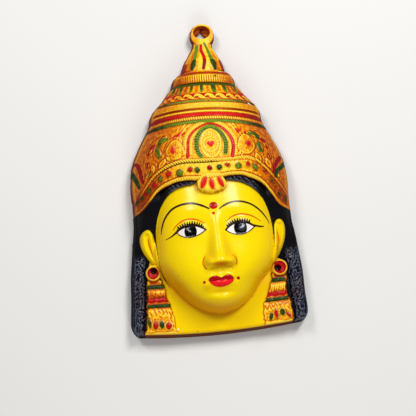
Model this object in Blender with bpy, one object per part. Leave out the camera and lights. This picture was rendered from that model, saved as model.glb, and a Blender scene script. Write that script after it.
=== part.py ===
"""Deity face mask: one cast piece, a hollow painted face with a tall tiered crown and a hanging loop.

The mask lies on its flat back.  +Z points out of the face, +Y runs up to the loop and +X is the
right of the drawing.  Everything below is worked out in millimetres from the bottom edge of the
cast (y = 0), and the finished mesh is turned into metres with the middle of the footprint at the
origin and the back rim at Z = 0.
"""
import math

import bmesh
import bpy
import numpy as np

# ---------------------------------------------------------------- named sizes, millimetres
MM = 0.001
LOOP_Y = 229.5            # centre of the hanging loop
LOOP_R_BACK = 9.4         # loop radius at the back
LOOP_R_FRONT = 8.7        # loop radius at the front, a little less for the mould's draft
LOOP_T = 10.0             # loop thickness
EYE_UP = 1.95             # the hole sits above the loop's centre, so the loop is thin at its top
EYE_R_BACK = 4.6          # hole of the loop: narrow at the back ...
EYE_R_FRONT = 6.4         # ... and wide at the front
EYE_SQUASH = 0.80         # the hole is a little wider than it is high
BOTTOM_MID = 0.8          # height of the trimmed bottom edge in the middle: it bows down there ...
BOTTOM_BOW = 0.00095      # ... along this parabola ...
BOTTOM_TILT = 0.038       # ... and climbs a little to the right
TOTAL_TOP = LOOP_Y + LOOP_R_BACK
TOTAL_LOW = BOTTOM_MID - BOTTOM_TILT**2 / (4 * BOTTOM_BOW)
MID_Y = (TOTAL_TOP + TOTAL_LOW) / 2.0       # becomes Y = 0

WALL_SLOPE = 3.1          # the side wall rises 3.1 mm for each mm in from the outline
RIM = 9.0                 # width of the flat back rim beside the hollow

# half width of the outline at heights above the bottom edge
OUTLINE = ((0.0, 61.4), (1.5, 63.6), (4.0, 65.6), (9.0, 67.0), (27.0, 66.0), (45.0, 65.3), (60.0, 63.6),
           (73.0, 62.0), (86.0, 60.2), (100.0, 59.9), (113.0, 60.3), (122.0, 59.5), (131.0, 57.9),
           (140.0, 54.5), (150.0, 49.5), (158.0, 45.1), (163.0, 43.2), (168.0, 42.4), (172.5, 40.1),
           (177.0, 36.1), (181.0, 32.4), (186.0, 28.6), (190.0, 25.0), (195.0, 23.9), (198.5, 21.6),
           (200.5, 17.6), (203.0, 16.8), (208.0, 15.2), (212.0, 13.3), (217.0, 10.2), (221.0, 8.1),
           (226.0, 7.6))
# height of the crown's middle line above the back
CROWN_RIDGE = ((75.0, 44.0), (113.0, 46.0), (125.0, 47.6), (140.0, 47.2), (150.0, 45.6), (155.4, 43.8),
               (158.0, 42.4), (161.0, 40.8), (164.0, 39.3), (167.0, 37.6), (172.0, 36.2), (175.0, 33.8),
               (180.5, 31.2), (186.6, 28.2), (188.6, 26.6), (195.2, 25.0), (197.2, 19.6), (203.0, 18.0),
               (212.0, 14.6), (217.0, 12.2), (221.0, 10.6), (226.0, 10.0))
# rolls that run round the crown: lower edge, upper edge, how far each stands out
BANDS = ((113.4, 116.2, 1.3), (126.0, 128.6, 1.3), (155.4, 157.9, 1.0), (158.0, 160.5, 1.2),
         (160.8, 163.7, 0.5), (164.0, 165.4, 0.6), (165.6, 167.1, -0.8), (167.3, 171.9, 2.0),
         (172.4, 174.4, 0.8), (186.7, 188.4, 0.4), (188.7, 195.1, 2.2))


# ---------------------------------------------------------------- small mathematical tools
def stations(table, at):
    """Monotone cubic curve through a table of (place, value)."""
    x = np.array([p[0] for p in table], float)
    v = np.array([p[1] for p in table], float)
    step, rise = np.diff(x), np.diff(v)
    slope = rise / step
    m = np.zeros_like(v)
    m[1:-1] = np.where(slope[1:] * slope[:-1] > 0,
                       2 * slope[1:] * slope[:-1] / np.where(slope[1:] + slope[:-1] == 0, 1, slope[1:] + slope[:-1]), 0)
    m[0], m[-1] = slope[0], slope[-1]
    at = np.clip(np.asarray(at, float), x[0], x[-1])
    i = np.clip(np.searchsorted(x, at, side="right") - 1, 0, len(x) - 2)
    t = (at - x[i]) / step[i]
    return ((2 * t**3 - 3 * t**2 + 1) * v[i] + (t**3 - 2 * t**2 + t) * step[i] * m[i]
            + (-2 * t**3 + 3 * t**2) * v[i + 1] + (t**3 - t**2) * step[i] * m[i + 1])


def ramp(a, b, x):
    """0 below a, 1 above b, smooth between."""
    t = np.clip((x - a) / (b - a), 0, 1)
    return t * t * (3 - 2 * t)


def high(a, b, k):
    """The higher of two surfaces, with a fillet about k wide."""
    return 0.5 * (a + b + np.sqrt((a - b) ** 2 + k * k))


def low(a, b, k):
    """The lower of two surfaces, with a rounded edge about k wide."""
    return 0.5 * (a + b - np.sqrt((a - b) ** 2 + k * k))


def mound(x, y, cx, cy, rx, ry, turn=0.0):
    """A smooth bump of height 1."""
    c, s = math.cos(turn), math.sin(turn)
    u, v = (x - cx) * c + (y - cy) * s, -(x - cx) * s + (y - cy) * c
    return np.exp(-(u / rx) ** 2 - (v / ry) ** 2)


# ---------------------------------------------------------------- the plan of the mask
def lean(y):
    """The hand-trimmed cast bows a little to the left half way up."""
    return -1.75 * np.exp(-((y - 140.0) / 45.0) ** 2) - 0.7 * np.exp(-((y - 194.0) / 12.0) ** 2)


def bottom_edge(x):
    return BOTTOM_MID + BOTTOM_BOW * x * x + BOTTOM_TILT * x


def border_drop(x, y):
    """How much lower the crown's border is here than over the forehead."""
    t = np.clip((np.abs(x - lean(y)) - 18.0) / 34.5, 0, 1)
    return 23.5 * t**2.2


def follow(level):
    """Rows near the border follow it; rows far above and below don't."""
    up = np.clip((157.0 - level) / 27.0, 0, 1)
    down = np.clip((level - 52.0) / 61.0, 0, 1)
    return np.minimum(up * up * (3 - 2 * up), down)


def row_y(x, level):
    """Where the row called `level` runs: straight, or bent with the crown's border and bands."""
    sag = np.interp(level, (138, 152, 160, 173, 240), (0, 2.8, 2.5, 1.0, 1.0)) * (x / 45.0) ** 2
    tilt = 0.02 * x * ramp(140, 152, level)
    return (level - border_drop(x, level) * follow(level) - sag - tilt
            + bottom_edge(x) * (1 - ramp(0, 40, level)))


def level_of(x, y):
    """The inverse of row_y, by halving."""
    lo, hi = np.full_like(y, -30.0), np.full_like(y, 290.0)
    for _ in range(34):
        mid = (lo + hi) / 2
        under = row_y(x, mid) < y
        lo, hi = np.where(under, mid, lo), np.where(under, hi, mid)
    return (lo + hi) / 2


def half_width(y):
    return stations(OUTLINE, y)


def edge_distance(x, y):
    """Distance in from the outline."""
    up = y - bottom_edge(x) * (1 - ramp(0, 40, y))
    w = half_width(up)
    grow = (half_width(up + 0.7) - half_width(up - 0.7)) / 1.4
    side = (w - np.abs(x - lean(y))) / np.sqrt(1 + np.minimum(grow * grow, 9.0))
    return np.minimum(side, up)


# ---------------------------------------------------------------- the relief
def head_frame(x, y):
    """The head is turned a degree and a half on the cast."""
    t = math.radians(1.5)
    return (x - 0.1) * math.cos(t) + (y - 70) * math.sin(t), -(x - 0.1) * math.sin(t) + (y - 70) * math.cos(t) + 70


# half width of the face's oval and how far it leans sideways, at heights in the head's own frame
JAW = ((14.0, 12.0), (16.9, 16.8), (19.0, 23.7), (22.3, 27.8), (26.8, 30.5), (32.2, 32.7), (38.2, 35.1), (45.0, 39.9),
       (55.0, 44.6), (65.0, 46.5), (120.0, 46.5))
JAW_LEAN = ((14.0, 0.0), (19.0, -0.5), (27.0, -1.2), (38.0, -1.9), (48.0, -1.0), (64.0, 0.0), (120.0, 0.0))


def face_oval(u, v):
    """The plain rounded form of the head, without its features."""
    aside = u - stations(JAW_LEAN, v)
    rho = (np.abs(aside / stations(JAW, v)) ** 2.5
           + np.where(v > 65, np.abs((v - 65) / 85.0) ** 2.0, np.abs((v - 65) / 48.5) ** 3.0))
    return 12 + 33.5 * np.sqrt(np.clip(1 - rho, 0, 1))


def face(x, y):
    """The bare face: forehead, cheeks, eyes, nose, lips and chin."""
    u, v = head_frame(x, y)
    z = face_oval(u, v)
    z = z + 1.6 * mound(np.abs(u), v, 23, 54, 12, 12)                      # cheeks
    z = z + 2.6 * mound(u, v, 0, 42, 17, 12)                               # mouth area
    z = z + 4.6 * mound(u, v, 0, 26.5, 10.0, 5.8)                          # chin
    z = z - 1.3 * mound(u, v, 0, 31.4, 8.0, 2.0)                           # crease under the lip
    z = z - 1.6 * mound(np.abs(u), v, 12, 81, 8, 7)                        # eye hollows
    z = z + 1.3 * mound(np.abs(u), v, 18, 76.5, 9.5, 5.0)                  # eyeballs
    z = z + 0.6 * mound(np.abs(u), v, 18, 92, 15, 4.5)                     # brows
    along = np.clip((93 - v) / 39.0, 0, 1.0)                               # 0 at the brow, 1 at the tip
    ridge = 9.6 * along**1.35 * ramp(49.0, 53.6, v)
    wide = 4.0 + 4.2 * along**2
    z = z + ridge * np.exp(-np.abs(u / wide) ** 2.4) * (v < 94)
    z = z + 3.4 * mound(np.abs(u), v, 8.0, 54.0, 3.9, 4.0)                 # nostril wings
    z = z + 2.3 * mound(np.abs(u), v, 3.6, 42.6, 5.2, 2.0)                 # upper lip
    z = z + 2.6 * mound(u, v, 0, 38.0, 6.4, 2.4)                           # lower lip
    z = z - 0.8 * mound(np.abs(u), v, 9.8, 40.2, 1.8, 1.8)                 # mouth corners
    return z


def face_edge(x, y):
    """Below 1 inside the face, above 1 in the hair."""
    u, v = head_frame(x, y)
    a = np.abs(u + 0.6) / 43.4
    p = np.where(v > 65, 2.4, 2.0)
    return (a**p + np.where(v > 65, np.abs(v - 65) / 50.0, np.abs(v - 65) / 48.5) ** p) ** (1 / p)


def ear(x, y, side):
    """1 at the middle of an ear, 0 at its rim, negative outside."""
    if side < 0:
        cx, top, bottom, wide = -49.9, 81.2, 53.6, 6.5
    else:
        cx, top, bottom, wide = 47.7, 83.2, 52.4, 4.5
    t = np.clip((y - bottom) / (top - bottom), 0, 1)
    mid = cx - side * 4.0 * (1 - t) ** 1.5
    w = wide * np.sin(np.pi * np.clip(t, 0, 1) ** 1.25) ** 0.55 + 0.01
    inside = (y > bottom) & (y < top)
    return np.where(inside, 1 - np.abs(x - mid) / w, -1.0)


def pendant(x, y, side):
    """Distance in from the edge of an earring's hanging part."""
    if side < 0:
        left = np.interp(y, (4, 16, 40), (-56.3, -54.3, -52.9))
        right = np.interp(y, (4, 16, 25, 30, 40.5), (-32.3, -34.1, -36.3, -38.2, -40.2))
        low_end, high_end = 3.8, 41.0
    else:
        left = np.interp(y, (8, 22, 25, 30, 40), (32.0, 31.9, 34.9, 35.8, 40.0))
        right = np.interp(y, (8, 22, 26, 40), (54.0, 53.2, 50.6, 49.9))
        low_end, high_end = 7.4, 40.6
    return np.minimum(np.minimum(x - left, right - x), np.minimum(y - low_end, high_end - y))


def earring_rows(y, side):
    """Rolls across a hanging earring."""
    o = 0.0 if side < 0 else -0.4
    z = 1.1 * np.exp(-((y - (38.6 + o)) / 1.7) ** 2) + 1.7 * np.exp(-((y - (33.8 + o)) / 3.0) ** 4)
    z = z + 1.0 * np.exp(-((y - (28.6 + o)) / 1.7) ** 2) + 1.0 * np.exp(-((y - (24.8 + o)) / 1.5) ** 2)
    return z + 0.9 * np.exp(-((y - (12.0 - o)) / 4.0) ** 4)


def lock(x, y, side):
    """A hanging lock of hair: 1 along its middle, 0 at its edges."""
    w = half_width(y) - 2.2
    if side < 0:
        outer, inner = -w, np.interp(y, (0, 5, 20, 40, 60), (-57.4, -56.8, -55.2, -53.8, -52.2))
    else:
        outer, inner = w, np.interp(y, (0, 8, 18, 32, 43, 56, 66), (55.0, 55.0, 55.2, 52.9, 52.3, 49.4, 52.0))
    mid, half = (outer + inner) / 2, np.abs(outer - inner) / 2
    return 1 - np.abs(x - mid) / half


def lower_part(x, y):
    """Everything under the crown: hair, face, ears, earrings, locks and neck."""
    across = np.abs(x - lean(y))
    w = half_width(y) - 2.8
    t = np.clip((across - 42.0) / (w - 42.0), 0, 1)
    swell = 4.5 + 13.5 * ramp(50, 98, y)
    hair = 9 + swell * (1 - t**2.2) ** 0.6
    neck = 13.6
    ground = neck + (np.minimum(hair, 26) - neck) * ramp(44, 58, y)
    z = high(ground, face(x, y), 1.6)
    strand = ramp(0.985, 1.015, face_edge(x, y)) * ramp(60, 80, y)
    z = z + 1.2 * strand
    for side in (-1, 1):
        k = lock(x, y, side)
        roll = 10 + 6.6 * np.sqrt(np.clip(1 - (1 - np.clip(k, 0, 1)) ** 2, 0, 1))
        z = np.where(k > 0, roll + (z - roll) * ramp(54, 63, y), z)
        e = ear(x, y, side)
        rise = 5.2 * np.clip(e / 0.45, 0, 1) ** 0.6 - 1.6 * ramp(0.35, 0.8, e)
        z = z + np.where(e > 0, rise, 0) * (np.sign(x) == side)
        p = pendant(x, y, side)
        lip = np.clip(p / 1.3, 0, 1)
        z = np.where(p > 0, neck + 3.6 * lip**0.6 + earring_rows(y, side) * lip, z)
        cx, cy = (-47.9, 49.3) if side < 0 else (46.1, 48.1)
        r = np.hypot(x - cx, y - cy)
        z = np.where(r < 6.2, np.maximum(z, 15.5 + 5.4 * np.sqrt(np.clip(1 - (r / 6.2) ** 2, 0, 1))), z)
        z = z - 4.0 * ramp(3.4, 1.6, r)
    return z


def crown(x, y, level):
    """The tiered crown and the finial."""
    across = np.abs(x - lean(y))
    s = np.clip(across / (half_width(y) - 2.4), 0, 1)
    dome = (1 - s**2.3) ** 0.56
    z = 9 + (stations(CROWN_RIDGE, level) - 9) * dome
    for lo_, hi_, out in BANDS:
        t = (level - (lo_ + hi_) / 2) / ((hi_ - lo_) / 2)
        z = z + out * np.sqrt(np.clip(1 - t * t, 0, 1)) * (0.35 + 0.65 * dome)
    return z


def fan(x, y):
    """The petal ornament that hangs from the border over the forehead: positive inside."""
    u, v = x + 1.9, y - 115.5
    return np.minimum(9.6 - np.hypot(u * 1.0, np.minimum(v + 1.5, 0) * 0.98), 7.0 + v * 0 - np.maximum(v, 0))


def modelling(x, y, level):
    """The modelled front, before its outline is cut."""
    z = lower_part(x, y)
    up = ramp(113.0, 114.0, level)
    z = z * (1 - up) + crown(x, y, level) * up
    f = fan(x, y)
    plate = 44.6 + 2.6 * np.clip(f / 2.2, 0, 1) ** 0.7
    return np.where((f > 0) & (y < 117), np.maximum(z, plate), z)


def relief(x, y, blur):
    """Height of the front over the back plane, with detail finer than `blur` averaged away."""
    z = np.zeros_like(x)
    around = [(0, 0)] * 2 + [(blur * math.cos(a), blur * math.sin(a)) for a in np.arange(8) * math.pi / 4]
    for dx, dy in around:
        z += modelling(x + dx, y + dy, level_of(x + dx, y + dy)) / len(around)
    wall = WALL_SLOPE * np.maximum(edge_distance(x, y), 0)
    return np.maximum(low(z, wall, 1.4), 0)


def hollow_width(y):
    """Half width of the hollow: a rim's width in from the outline, and narrower behind the face."""
    return np.minimum(half_width(y) - RIM, stations(((0, 47), (50, 45.5), (95, 47), (115, 49), (135, 51), (260, 60)), y))


def hollow(x, y, level):
    """Height of the hollow's ceiling over the back plane."""
    w = hollow_width(y)
    s = np.clip(np.abs(x - lean(y)) / np.maximum(w, 1), 0, 1)
    top = np.interp(level, (0, 8, 20, 34, 60, 95, 125, 150, 175, 192, 203),
                    (0, 5, 7.5, 25, 34, 34, 36, 33, 23, 15, 0))
    # behind the neck it stays some millimetres under the front
    under = np.maximum(face_oval(*head_frame(x, y)), 13.6) - 4.6 + 30 * ramp(54, 66, level)
    return np.minimum(top * (1 - s**2.4) ** 0.75, under)


# ---------------------------------------------------------------- mesh building
def new_collection(name):
    c = bpy.data.collections.new(name)
    bpy.context.scene.collection.children.link(c)
    return c


def move_to(obj, collection):
    for c in list(obj.users_collection):
        c.objects.unlink(obj)
    collection.objects.link(obj)


def grid_body(name, xs, ys, zs, floor):
    """A grid of (rows x columns) shaped by its heights and closed underneath by a flat floor."""
    rows, cols = zs.shape
    bpy.ops.mesh.primitive_grid_add(x_subdivisions=cols - 1, y_subdivisions=rows - 1, size=1.0)
    obj = bpy.context.active_object
    obj.name = obj.data.name = name
    me = obj.data
    co = np.empty(len(me.vertices) * 3)
    me.vertices.foreach_get("co", co)
    co = co.reshape(-1, 3)
    i = np.rint((co[:, 1] + 0.5) * (rows - 1)).astype(int)
    j = np.rint((co[:, 0] + 0.5) * (cols - 1)).astype(int)
    new = np.stack([xs[i, j] * MM, (ys[i, j] - MID_Y) * MM, zs[i, j] * MM], 1)
    me.vertices.foreach_set("co", new.ravel())
    bm = bmesh.new()
    bm.from_mesh(me)
    rim = [e for e in bm.edges if e.is_boundary]
    down = bmesh.ops.extrude_edge_only(bm, edges=rim)["geom"]
    for v in (g for g in down if isinstance(g, bmesh.types.BMVert)):
        v.co.z = floor * MM
    bmesh.ops.contextual_create(bm, geom=[e for e in bm.edges if e.is_boundary])
    bmesh.ops.recalc_face_normals(bm, faces=bm.faces)
    bmesh.ops.triangulate(bm, faces=[f for f in bm.faces if len(f.verts) > 4])
    bm.to_mesh(me)
    bm.free()
    return obj


def front_body():
    """The outside of the cast."""
    face_rows = [0.0, 1.8, 3.6, 5.5, 8.0, 10.5, 13.5, 16.5, 19.0, 21.5, 24.0, 27.0, 30.0, 32.6, 35.2, 37.6,
                 40.0, 42.4, 45.0, 47.6, 50.0, 52.4, 55.0, 58.0, 61.5, 65.0, 68.5, 72.0, 75.0, 78.0, 81.5,
                 85.5, 89.5, 93.5, 97.5, 101.5, 105.0, 108.5, 111.2, 113.0, 114.0, 114.8, 116.2]
    crown_rows = [118.5, 121.2, 123.8, 126.0, 127.3, 128.6, 131.5, 135.0, 139.0, 143.0, 147.0, 151.0, 155.0,
                  155.5, 156.7, 157.8, 158.1, 159.2, 160.5, 162.2, 163.7, 164.7, 165.6, 166.4, 167.3, 168.4,
                  169.6, 170.8, 171.9, 173.4, 175.0, 177.5, 180.5, 183.5, 186.6, 188.4, 188.8, 190.2, 192.0,
                  193.8, 195.1, 196.4, 197.8, 200.2, 203.0, 206.5, 210.0, 213.5, 217.0, 220.5, 225.0, 225.6]
    levels = np.array(face_rows + crown_rows)
    inner = np.linspace(-1, 1, 41)
    inner = np.sign(inner) * np.abs(inner) ** 0.94
    rows, cols = len(levels), len(inner) + 2
    xs, ys = np.zeros((rows, cols)), np.zeros((rows, cols))
    for r, level in enumerate(levels):
        w = 60.0
        for _ in range(12):
            at = row_y(np.array([w]), level)[0]
            flat = at - (bottom_edge(np.array([w]))[0]) * (1 - ramp(0, 40, level))
            w = float(half_width(flat))
        inset = 2.9 if level > 4 else 2.9 * (0.4 + 0.15 * level)
        xs[r, 1:-1] = inner * (w - inset)
        xs[r, 0], xs[r, -1] = -w, w
        xs[r] += lean(level)
        ys[r] = row_y(xs[r], level)
    fine = levels > 150                                   # the crown's rolls have rows of their own
    zs = relief(xs.ravel(), ys.ravel(), 1.5).reshape(rows, cols)
    zs[fine] = relief(xs[fine].ravel(), ys[fine].ravel(), 0.25).reshape(-1, cols)
    zs[0, :] = 0
    zs[:, 0] = zs[:, -1] = 0
    zs[-2, 1:-1] = LOOP_T - 1.2
    zs[-1, :] = 0
    return grid_body("mask", xs, ys, zs, -2.0)


def hollow_body():
    """The space inside, made as a cutter."""
    levels = np.array([9.5, 13.5, 18, 22, 26, 29, 32, 35, 38, 41, 44.5, 48, 52, 56, 61, 66, 78, 90, 102, 114, 126, 138, 150, 161, 171, 180, 188, 195])
    inner = np.sin(np.linspace(-math.pi / 2, math.pi / 2, 27))
    rows, cols = len(levels), len(inner)
    xs, ys = np.zeros((rows, cols)), np.zeros((rows, cols))
    for r, level in enumerate(levels):
        w = float(hollow_width(level))
        if r in (0, rows - 1):
            w -= 4.0
        xs[r] = inner * w + lean(level)
        ys[r] = level
    zs = hollow(xs.ravel(), ys.ravel(), ys.ravel()).reshape(rows, cols)
    zs[0, :] = zs[-1, :] = 0
    zs[:, 0] = zs[:, -1] = 0
    return grid_body("hollow_cutter", xs, ys, zs, -5.0)


def loop_body():
    """The hanging loop, a flat disc with a rounded front edge.  It starts under the back plane."""
    under = 3.0
    draft = (LOOP_R_BACK - LOOP_R_FRONT) / LOOP_T
    bpy.ops.mesh.primitive_cone_add(vertices=40, radius1=(LOOP_R_BACK + draft * under) * MM, radius2=LOOP_R_FRONT * MM,
                                    depth=(LOOP_T + under) * MM,
                                    location=(0, (LOOP_Y - MID_Y) * MM, (LOOP_T - under) / 2 * MM))
    obj = bpy.context.active_object
    obj.name = obj.data.name = "loop_disc"
    bm = bmesh.new()
    bm.from_mesh(obj.data)
    top = [e for e in bm.edges if all(v.co.z > 0.4 * LOOP_T * MM for v in e.verts) and len(e.link_faces) == 2]
    bmesh.ops.bevel(bm, geom=top, offset=1.1 * MM, segments=2, profile=0.5, affect="EDGES")
    bm.to_mesh(obj.data)
    bm.free()
    return obj


def loop_hole():
    """The tapered hole through the loop, as a cutter."""
    over = 4.0
    grow = (EYE_R_FRONT - EYE_R_BACK) / LOOP_T
    bpy.ops.mesh.primitive_cone_add(vertices=32, radius1=(EYE_R_BACK - grow * over) * MM,
                                    radius2=(EYE_R_FRONT + grow * over) * MM, depth=(LOOP_T + 2 * over) * MM,
                                    location=(0, (LOOP_Y + EYE_UP - MID_Y) * MM, LOOP_T / 2 * MM))
    obj = bpy.context.active_object
    obj.name = obj.data.name = "loop_hole_cutter"
    obj.scale = (1.0, EYE_SQUASH, 1.0)
    bpy.ops.object.transform_apply(location=False, rotation=False, scale=True)
    return obj


def floor_cut():
    """Everything under the back plane is cut away, so the back lies flat."""
    bpy.ops.mesh.primitive_cube_add(size=1.0, location=(0, 0, -0.006))
    obj = bpy.context.active_object
    obj.name = obj.data.name = "floor_cutter"
    obj.scale = (0.20, 0.30, 0.012)
    bpy.ops.object.transform_apply(location=False, rotation=False, scale=True)
    return obj


def boolean(obj, other, operation):
    m = obj.modifiers.new(operation.lower() + "_" + other.name, "BOOLEAN")
    m.operation = operation
    m.solver = "EXACT"
    m.object = other


def hide_cutter(obj):
    obj.hide_render = True
    obj.display_type = "WIRE"


def enamel():
    m = bpy.data.materials.new("painted_plaster")
    m.use_nodes = True
    b = m.node_tree.nodes["Principled BSDF"]
    b.inputs["Base Color"].default_value = (0.86, 0.60, 0.02, 1)
    b.inputs["Roughness"].default_value = 0.28
    b.inputs["Metallic"].default_value = 0.0
    return m


def main():
    for o in list(bpy.data.objects):
        bpy.data.objects.remove(o, do_unlink=True)
    whole = new_collection("deity_face_mask")
    tools = new_collection("cutters")
    mask = front_body()
    disc, hole, core, under = loop_body(), loop_hole(), hollow_body(), floor_cut()
    for o in (disc, hole, core, under):
        hide_cutter(o)
        move_to(o, tools)
    move_to(mask, whole)
    boolean(mask, disc, "UNION")
    boolean(mask, core, "DIFFERENCE")
    boolean(mask, hole, "DIFFERENCE")
    boolean(mask, under, "DIFFERENCE")
    mask.data.materials.append(enamel())
    mask.data.shade_smooth()
    mask.data.set_sharp_from_angle(angle=math.radians(38))


main()
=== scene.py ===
"""Looks of the deity face mask: fine relief, enamel paint, light and camera.

The piece is one cast, so one mesh stands for the one CAD solid.  Sizes inside this file are in
millimetres measured from the middle of the cast's bottom edge (x right, y up to the loop, z out of
the back plane), as in the solid, and become metres in the frame at the end.
"""
import math

import bmesh
import bpy
import numpy as np
from mathutils import Matrix, Vector, kdtree


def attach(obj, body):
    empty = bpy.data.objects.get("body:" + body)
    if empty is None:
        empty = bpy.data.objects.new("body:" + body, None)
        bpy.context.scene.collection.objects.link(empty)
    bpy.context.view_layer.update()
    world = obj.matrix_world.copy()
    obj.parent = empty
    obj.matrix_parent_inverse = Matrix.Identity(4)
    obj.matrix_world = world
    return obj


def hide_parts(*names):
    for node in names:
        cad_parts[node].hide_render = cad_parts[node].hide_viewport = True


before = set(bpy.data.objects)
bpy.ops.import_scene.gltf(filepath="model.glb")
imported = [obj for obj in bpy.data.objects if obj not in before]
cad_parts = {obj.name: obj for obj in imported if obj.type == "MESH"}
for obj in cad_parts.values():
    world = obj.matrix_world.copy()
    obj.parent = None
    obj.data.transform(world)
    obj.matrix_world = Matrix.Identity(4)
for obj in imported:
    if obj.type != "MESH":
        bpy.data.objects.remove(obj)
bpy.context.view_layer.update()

# ---------------------------------------------------------------- named sizes, millimetres
MM = 0.001
LOOP_Y = 229.5
LOOP_R_BACK = 9.4
LOOP_R_FRONT = 8.7
LOOP_T = 10.0
EYE_UP = 1.95
EYE_R_BACK = 4.6
EYE_R_FRONT = 6.4
EYE_SQUASH = 0.80
BOTTOM_MID = 0.8
BOTTOM_BOW = 0.00095
BOTTOM_TILT = 0.038
TOTAL_TOP = LOOP_Y + LOOP_R_BACK
TOTAL_LOW = BOTTOM_MID - BOTTOM_TILT**2 / (4 * BOTTOM_BOW)
MID_Y = (TOTAL_TOP + TOTAL_LOW) / 2.0
WALL_SLOPE = 6.5
RIM = 9.0

OUTLINE = ((0.0, 61.4), (1.5, 63.6), (4.0, 65.6), (9.0, 67.0), (27.0, 66.0), (45.0, 65.3), (60.0, 63.6),
           (73.0, 62.0), (86.0, 60.2), (100.0, 59.9), (113.0, 60.3), (122.0, 59.5), (131.0, 57.9),
           (140.0, 54.5), (150.0, 49.5), (158.0, 45.1), (163.0, 43.2), (168.0, 42.4), (172.5, 40.1),
           (177.0, 36.1), (181.0, 32.4), (186.0, 28.6), (190.0, 25.0), (195.0, 23.9), (198.5, 21.6),
           (200.5, 17.6), (203.0, 16.8), (208.0, 15.2), (212.0, 13.3), (217.0, 10.2), (221.0, 8.1),
           (226.0, 7.6))
CROWN_RIDGE = ((75.0, 44.0), (113.0, 46.0), (125.0, 47.6), (140.0, 47.2), (150.0, 45.6), (155.4, 43.8),
               (158.0, 42.4), (161.0, 40.8), (164.0, 39.3), (167.0, 37.6), (172.0, 36.2), (175.0, 33.8),
               (180.5, 31.2), (186.6, 28.2), (188.6, 26.6), (195.2, 25.0), (196.6, 21.8), (198.4, 19.6),
               (203.0, 18.6), (208.5, 17.2), (212.0, 14.8), (217.0, 12.4), (221.0, 10.8), (226.0, 10.0))


# ---------------------------------------------------------------- small mathematical tools
def stations(table, at):
    """Monotone cubic curve through a table of (place, value)."""
    x = np.array([p[0] for p in table], float)
    v = np.array([p[1] for p in table], float)
    step, rise = np.diff(x), np.diff(v)
    slope = rise / step
    m = np.zeros_like(v)
    m[1:-1] = np.where(slope[1:] * slope[:-1] > 0,
                       2 * slope[1:] * slope[:-1] / np.where(slope[1:] + slope[:-1] == 0, 1, slope[1:] + slope[:-1]), 0)
    m[0], m[-1] = slope[0], slope[-1]
    at = np.clip(np.asarray(at, float), x[0], x[-1])
    i = np.clip(np.searchsorted(x, at, side="right") - 1, 0, len(x) - 2)
    t = (at - x[i]) / step[i]
    return ((2 * t**3 - 3 * t**2 + 1) * v[i] + (t**3 - 2 * t**2 + t) * step[i] * m[i]
            + (-2 * t**3 + 3 * t**2) * v[i + 1] + (t**3 - t**2) * step[i] * m[i + 1])


def ramp(a, b, x):
    """0 at a, 1 at b, smooth between."""
    t = np.clip((x - a) / (b - a), 0, 1)
    return t * t * (3 - 2 * t)


def high(a, b, k):
    return 0.5 * (a + b + np.sqrt((a - b) ** 2 + k * k))


def low(a, b, k):
    return 0.5 * (a + b - np.sqrt((a - b) ** 2 + k * k))


def mound(x, y, cx, cy, rx, ry, turn=0.0):
    c, s = math.cos(turn), math.sin(turn)
    u, v = (x - cx) * c + (y - cy) * s, -(x - cx) * s + (y - cy) * c
    return np.exp(-(u / rx) ** 2 - (v / ry) ** 2)


def lattice(ix, iy, seed):
    """A repeatable number from 0 to 1 for each whole-numbered point."""
    h = (ix.astype(np.int64) * 374761393 + iy.astype(np.int64) * 668265263 + seed * 974634777) & 0xFFFFFFFF
    h = ((h ^ (h >> 13)) * 1274126177) & 0xFFFFFFFF
    return ((h ^ (h >> 16)) & 0xFFFFFF) / float(0x1000000)


def noise(x, y, seed=0):
    """Smooth gradient noise, about -0.7 to 0.7, one bump to a unit."""
    ix, iy = np.floor(x), np.floor(y)
    fx, fy = x - ix, y - iy
    ux, uy = fx**3 * (fx * (fx * 6 - 15) + 10), fy**3 * (fy * (fy * 6 - 15) + 10)

    def corner(dx, dy):
        a = lattice(ix + dx, iy + dy, seed) * 2 * math.pi
        return np.cos(a) * (fx - dx) + np.sin(a) * (fy - dy)

    return ((corner(0, 0) * (1 - ux) + corner(1, 0) * ux) * (1 - uy)
            + (corner(0, 1) * (1 - ux) + corner(1, 1) * ux) * uy) * 1.4


def smooth_line(points, closed=False, n=8):
    """A smooth line through the points, as an array of points close together."""
    p = np.array(points, float)
    if closed:
        p = np.vstack([p[-1], p, p[0], p[1]])
    else:
        p = np.vstack([2 * p[0] - p[1], p, 2 * p[-1] - p[-2]])
    t = np.arange(n)[:, None] / n
    out = []
    for i in range(1, len(p) - 2):
        a, b, c, d = p[i - 1], p[i], p[i + 1], p[i + 2]
        out.append(0.5 * (2 * b + (c - a) * t + (2 * a - 5 * b + 4 * c - d) * t**2 + (3 * b - a - 3 * c + d) * t**3))
    out = np.vstack(out)
    return out if closed else np.vstack([out, p[-2]])


def near_line(x, y, line):
    """Distance to a line, the length run along it to the nearest point, and the side (+1 to its left)."""
    best = np.full(x.shape, 1e9)
    run = np.zeros(x.shape)
    side = np.ones(x.shape)
    total = 0.0
    for (ax, ay), (bx, by) in zip(line[:-1], line[1:]):
        dx, dy = bx - ax, by - ay
        size = math.hypot(dx, dy)
        if size < 1e-9:
            continue
        t = np.clip(((x - ax) * dx + (y - ay) * dy) / size**2, 0, 1)
        d = np.hypot(x - ax - t * dx, y - ay - t * dy)
        closer = d < best
        best = np.where(closer, d, best)
        run = np.where(closer, total + t * size, run)
        side = np.where(closer, np.sign(dx * (y - ay) - dy * (x - ax)), side)
        total += size
    return best, run, side, total


def inside_of(x, y, loop):
    """Signed distance to a closed line, positive inside."""
    d = near_line(x, y, np.vstack([loop, loop[:1]]))[0]
    within = np.zeros(x.shape, bool)
    for (ax, ay), (bx, by) in zip(loop, np.roll(loop, -1, 0)):
        if ay == by:
            continue
        cross = ((ay > y) != (by > y)) & (x < (bx - ax) * (y - ay) / (by - ay) + ax)
        within ^= cross
    return np.where(within, d, -d)


FAR = -6.0


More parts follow.
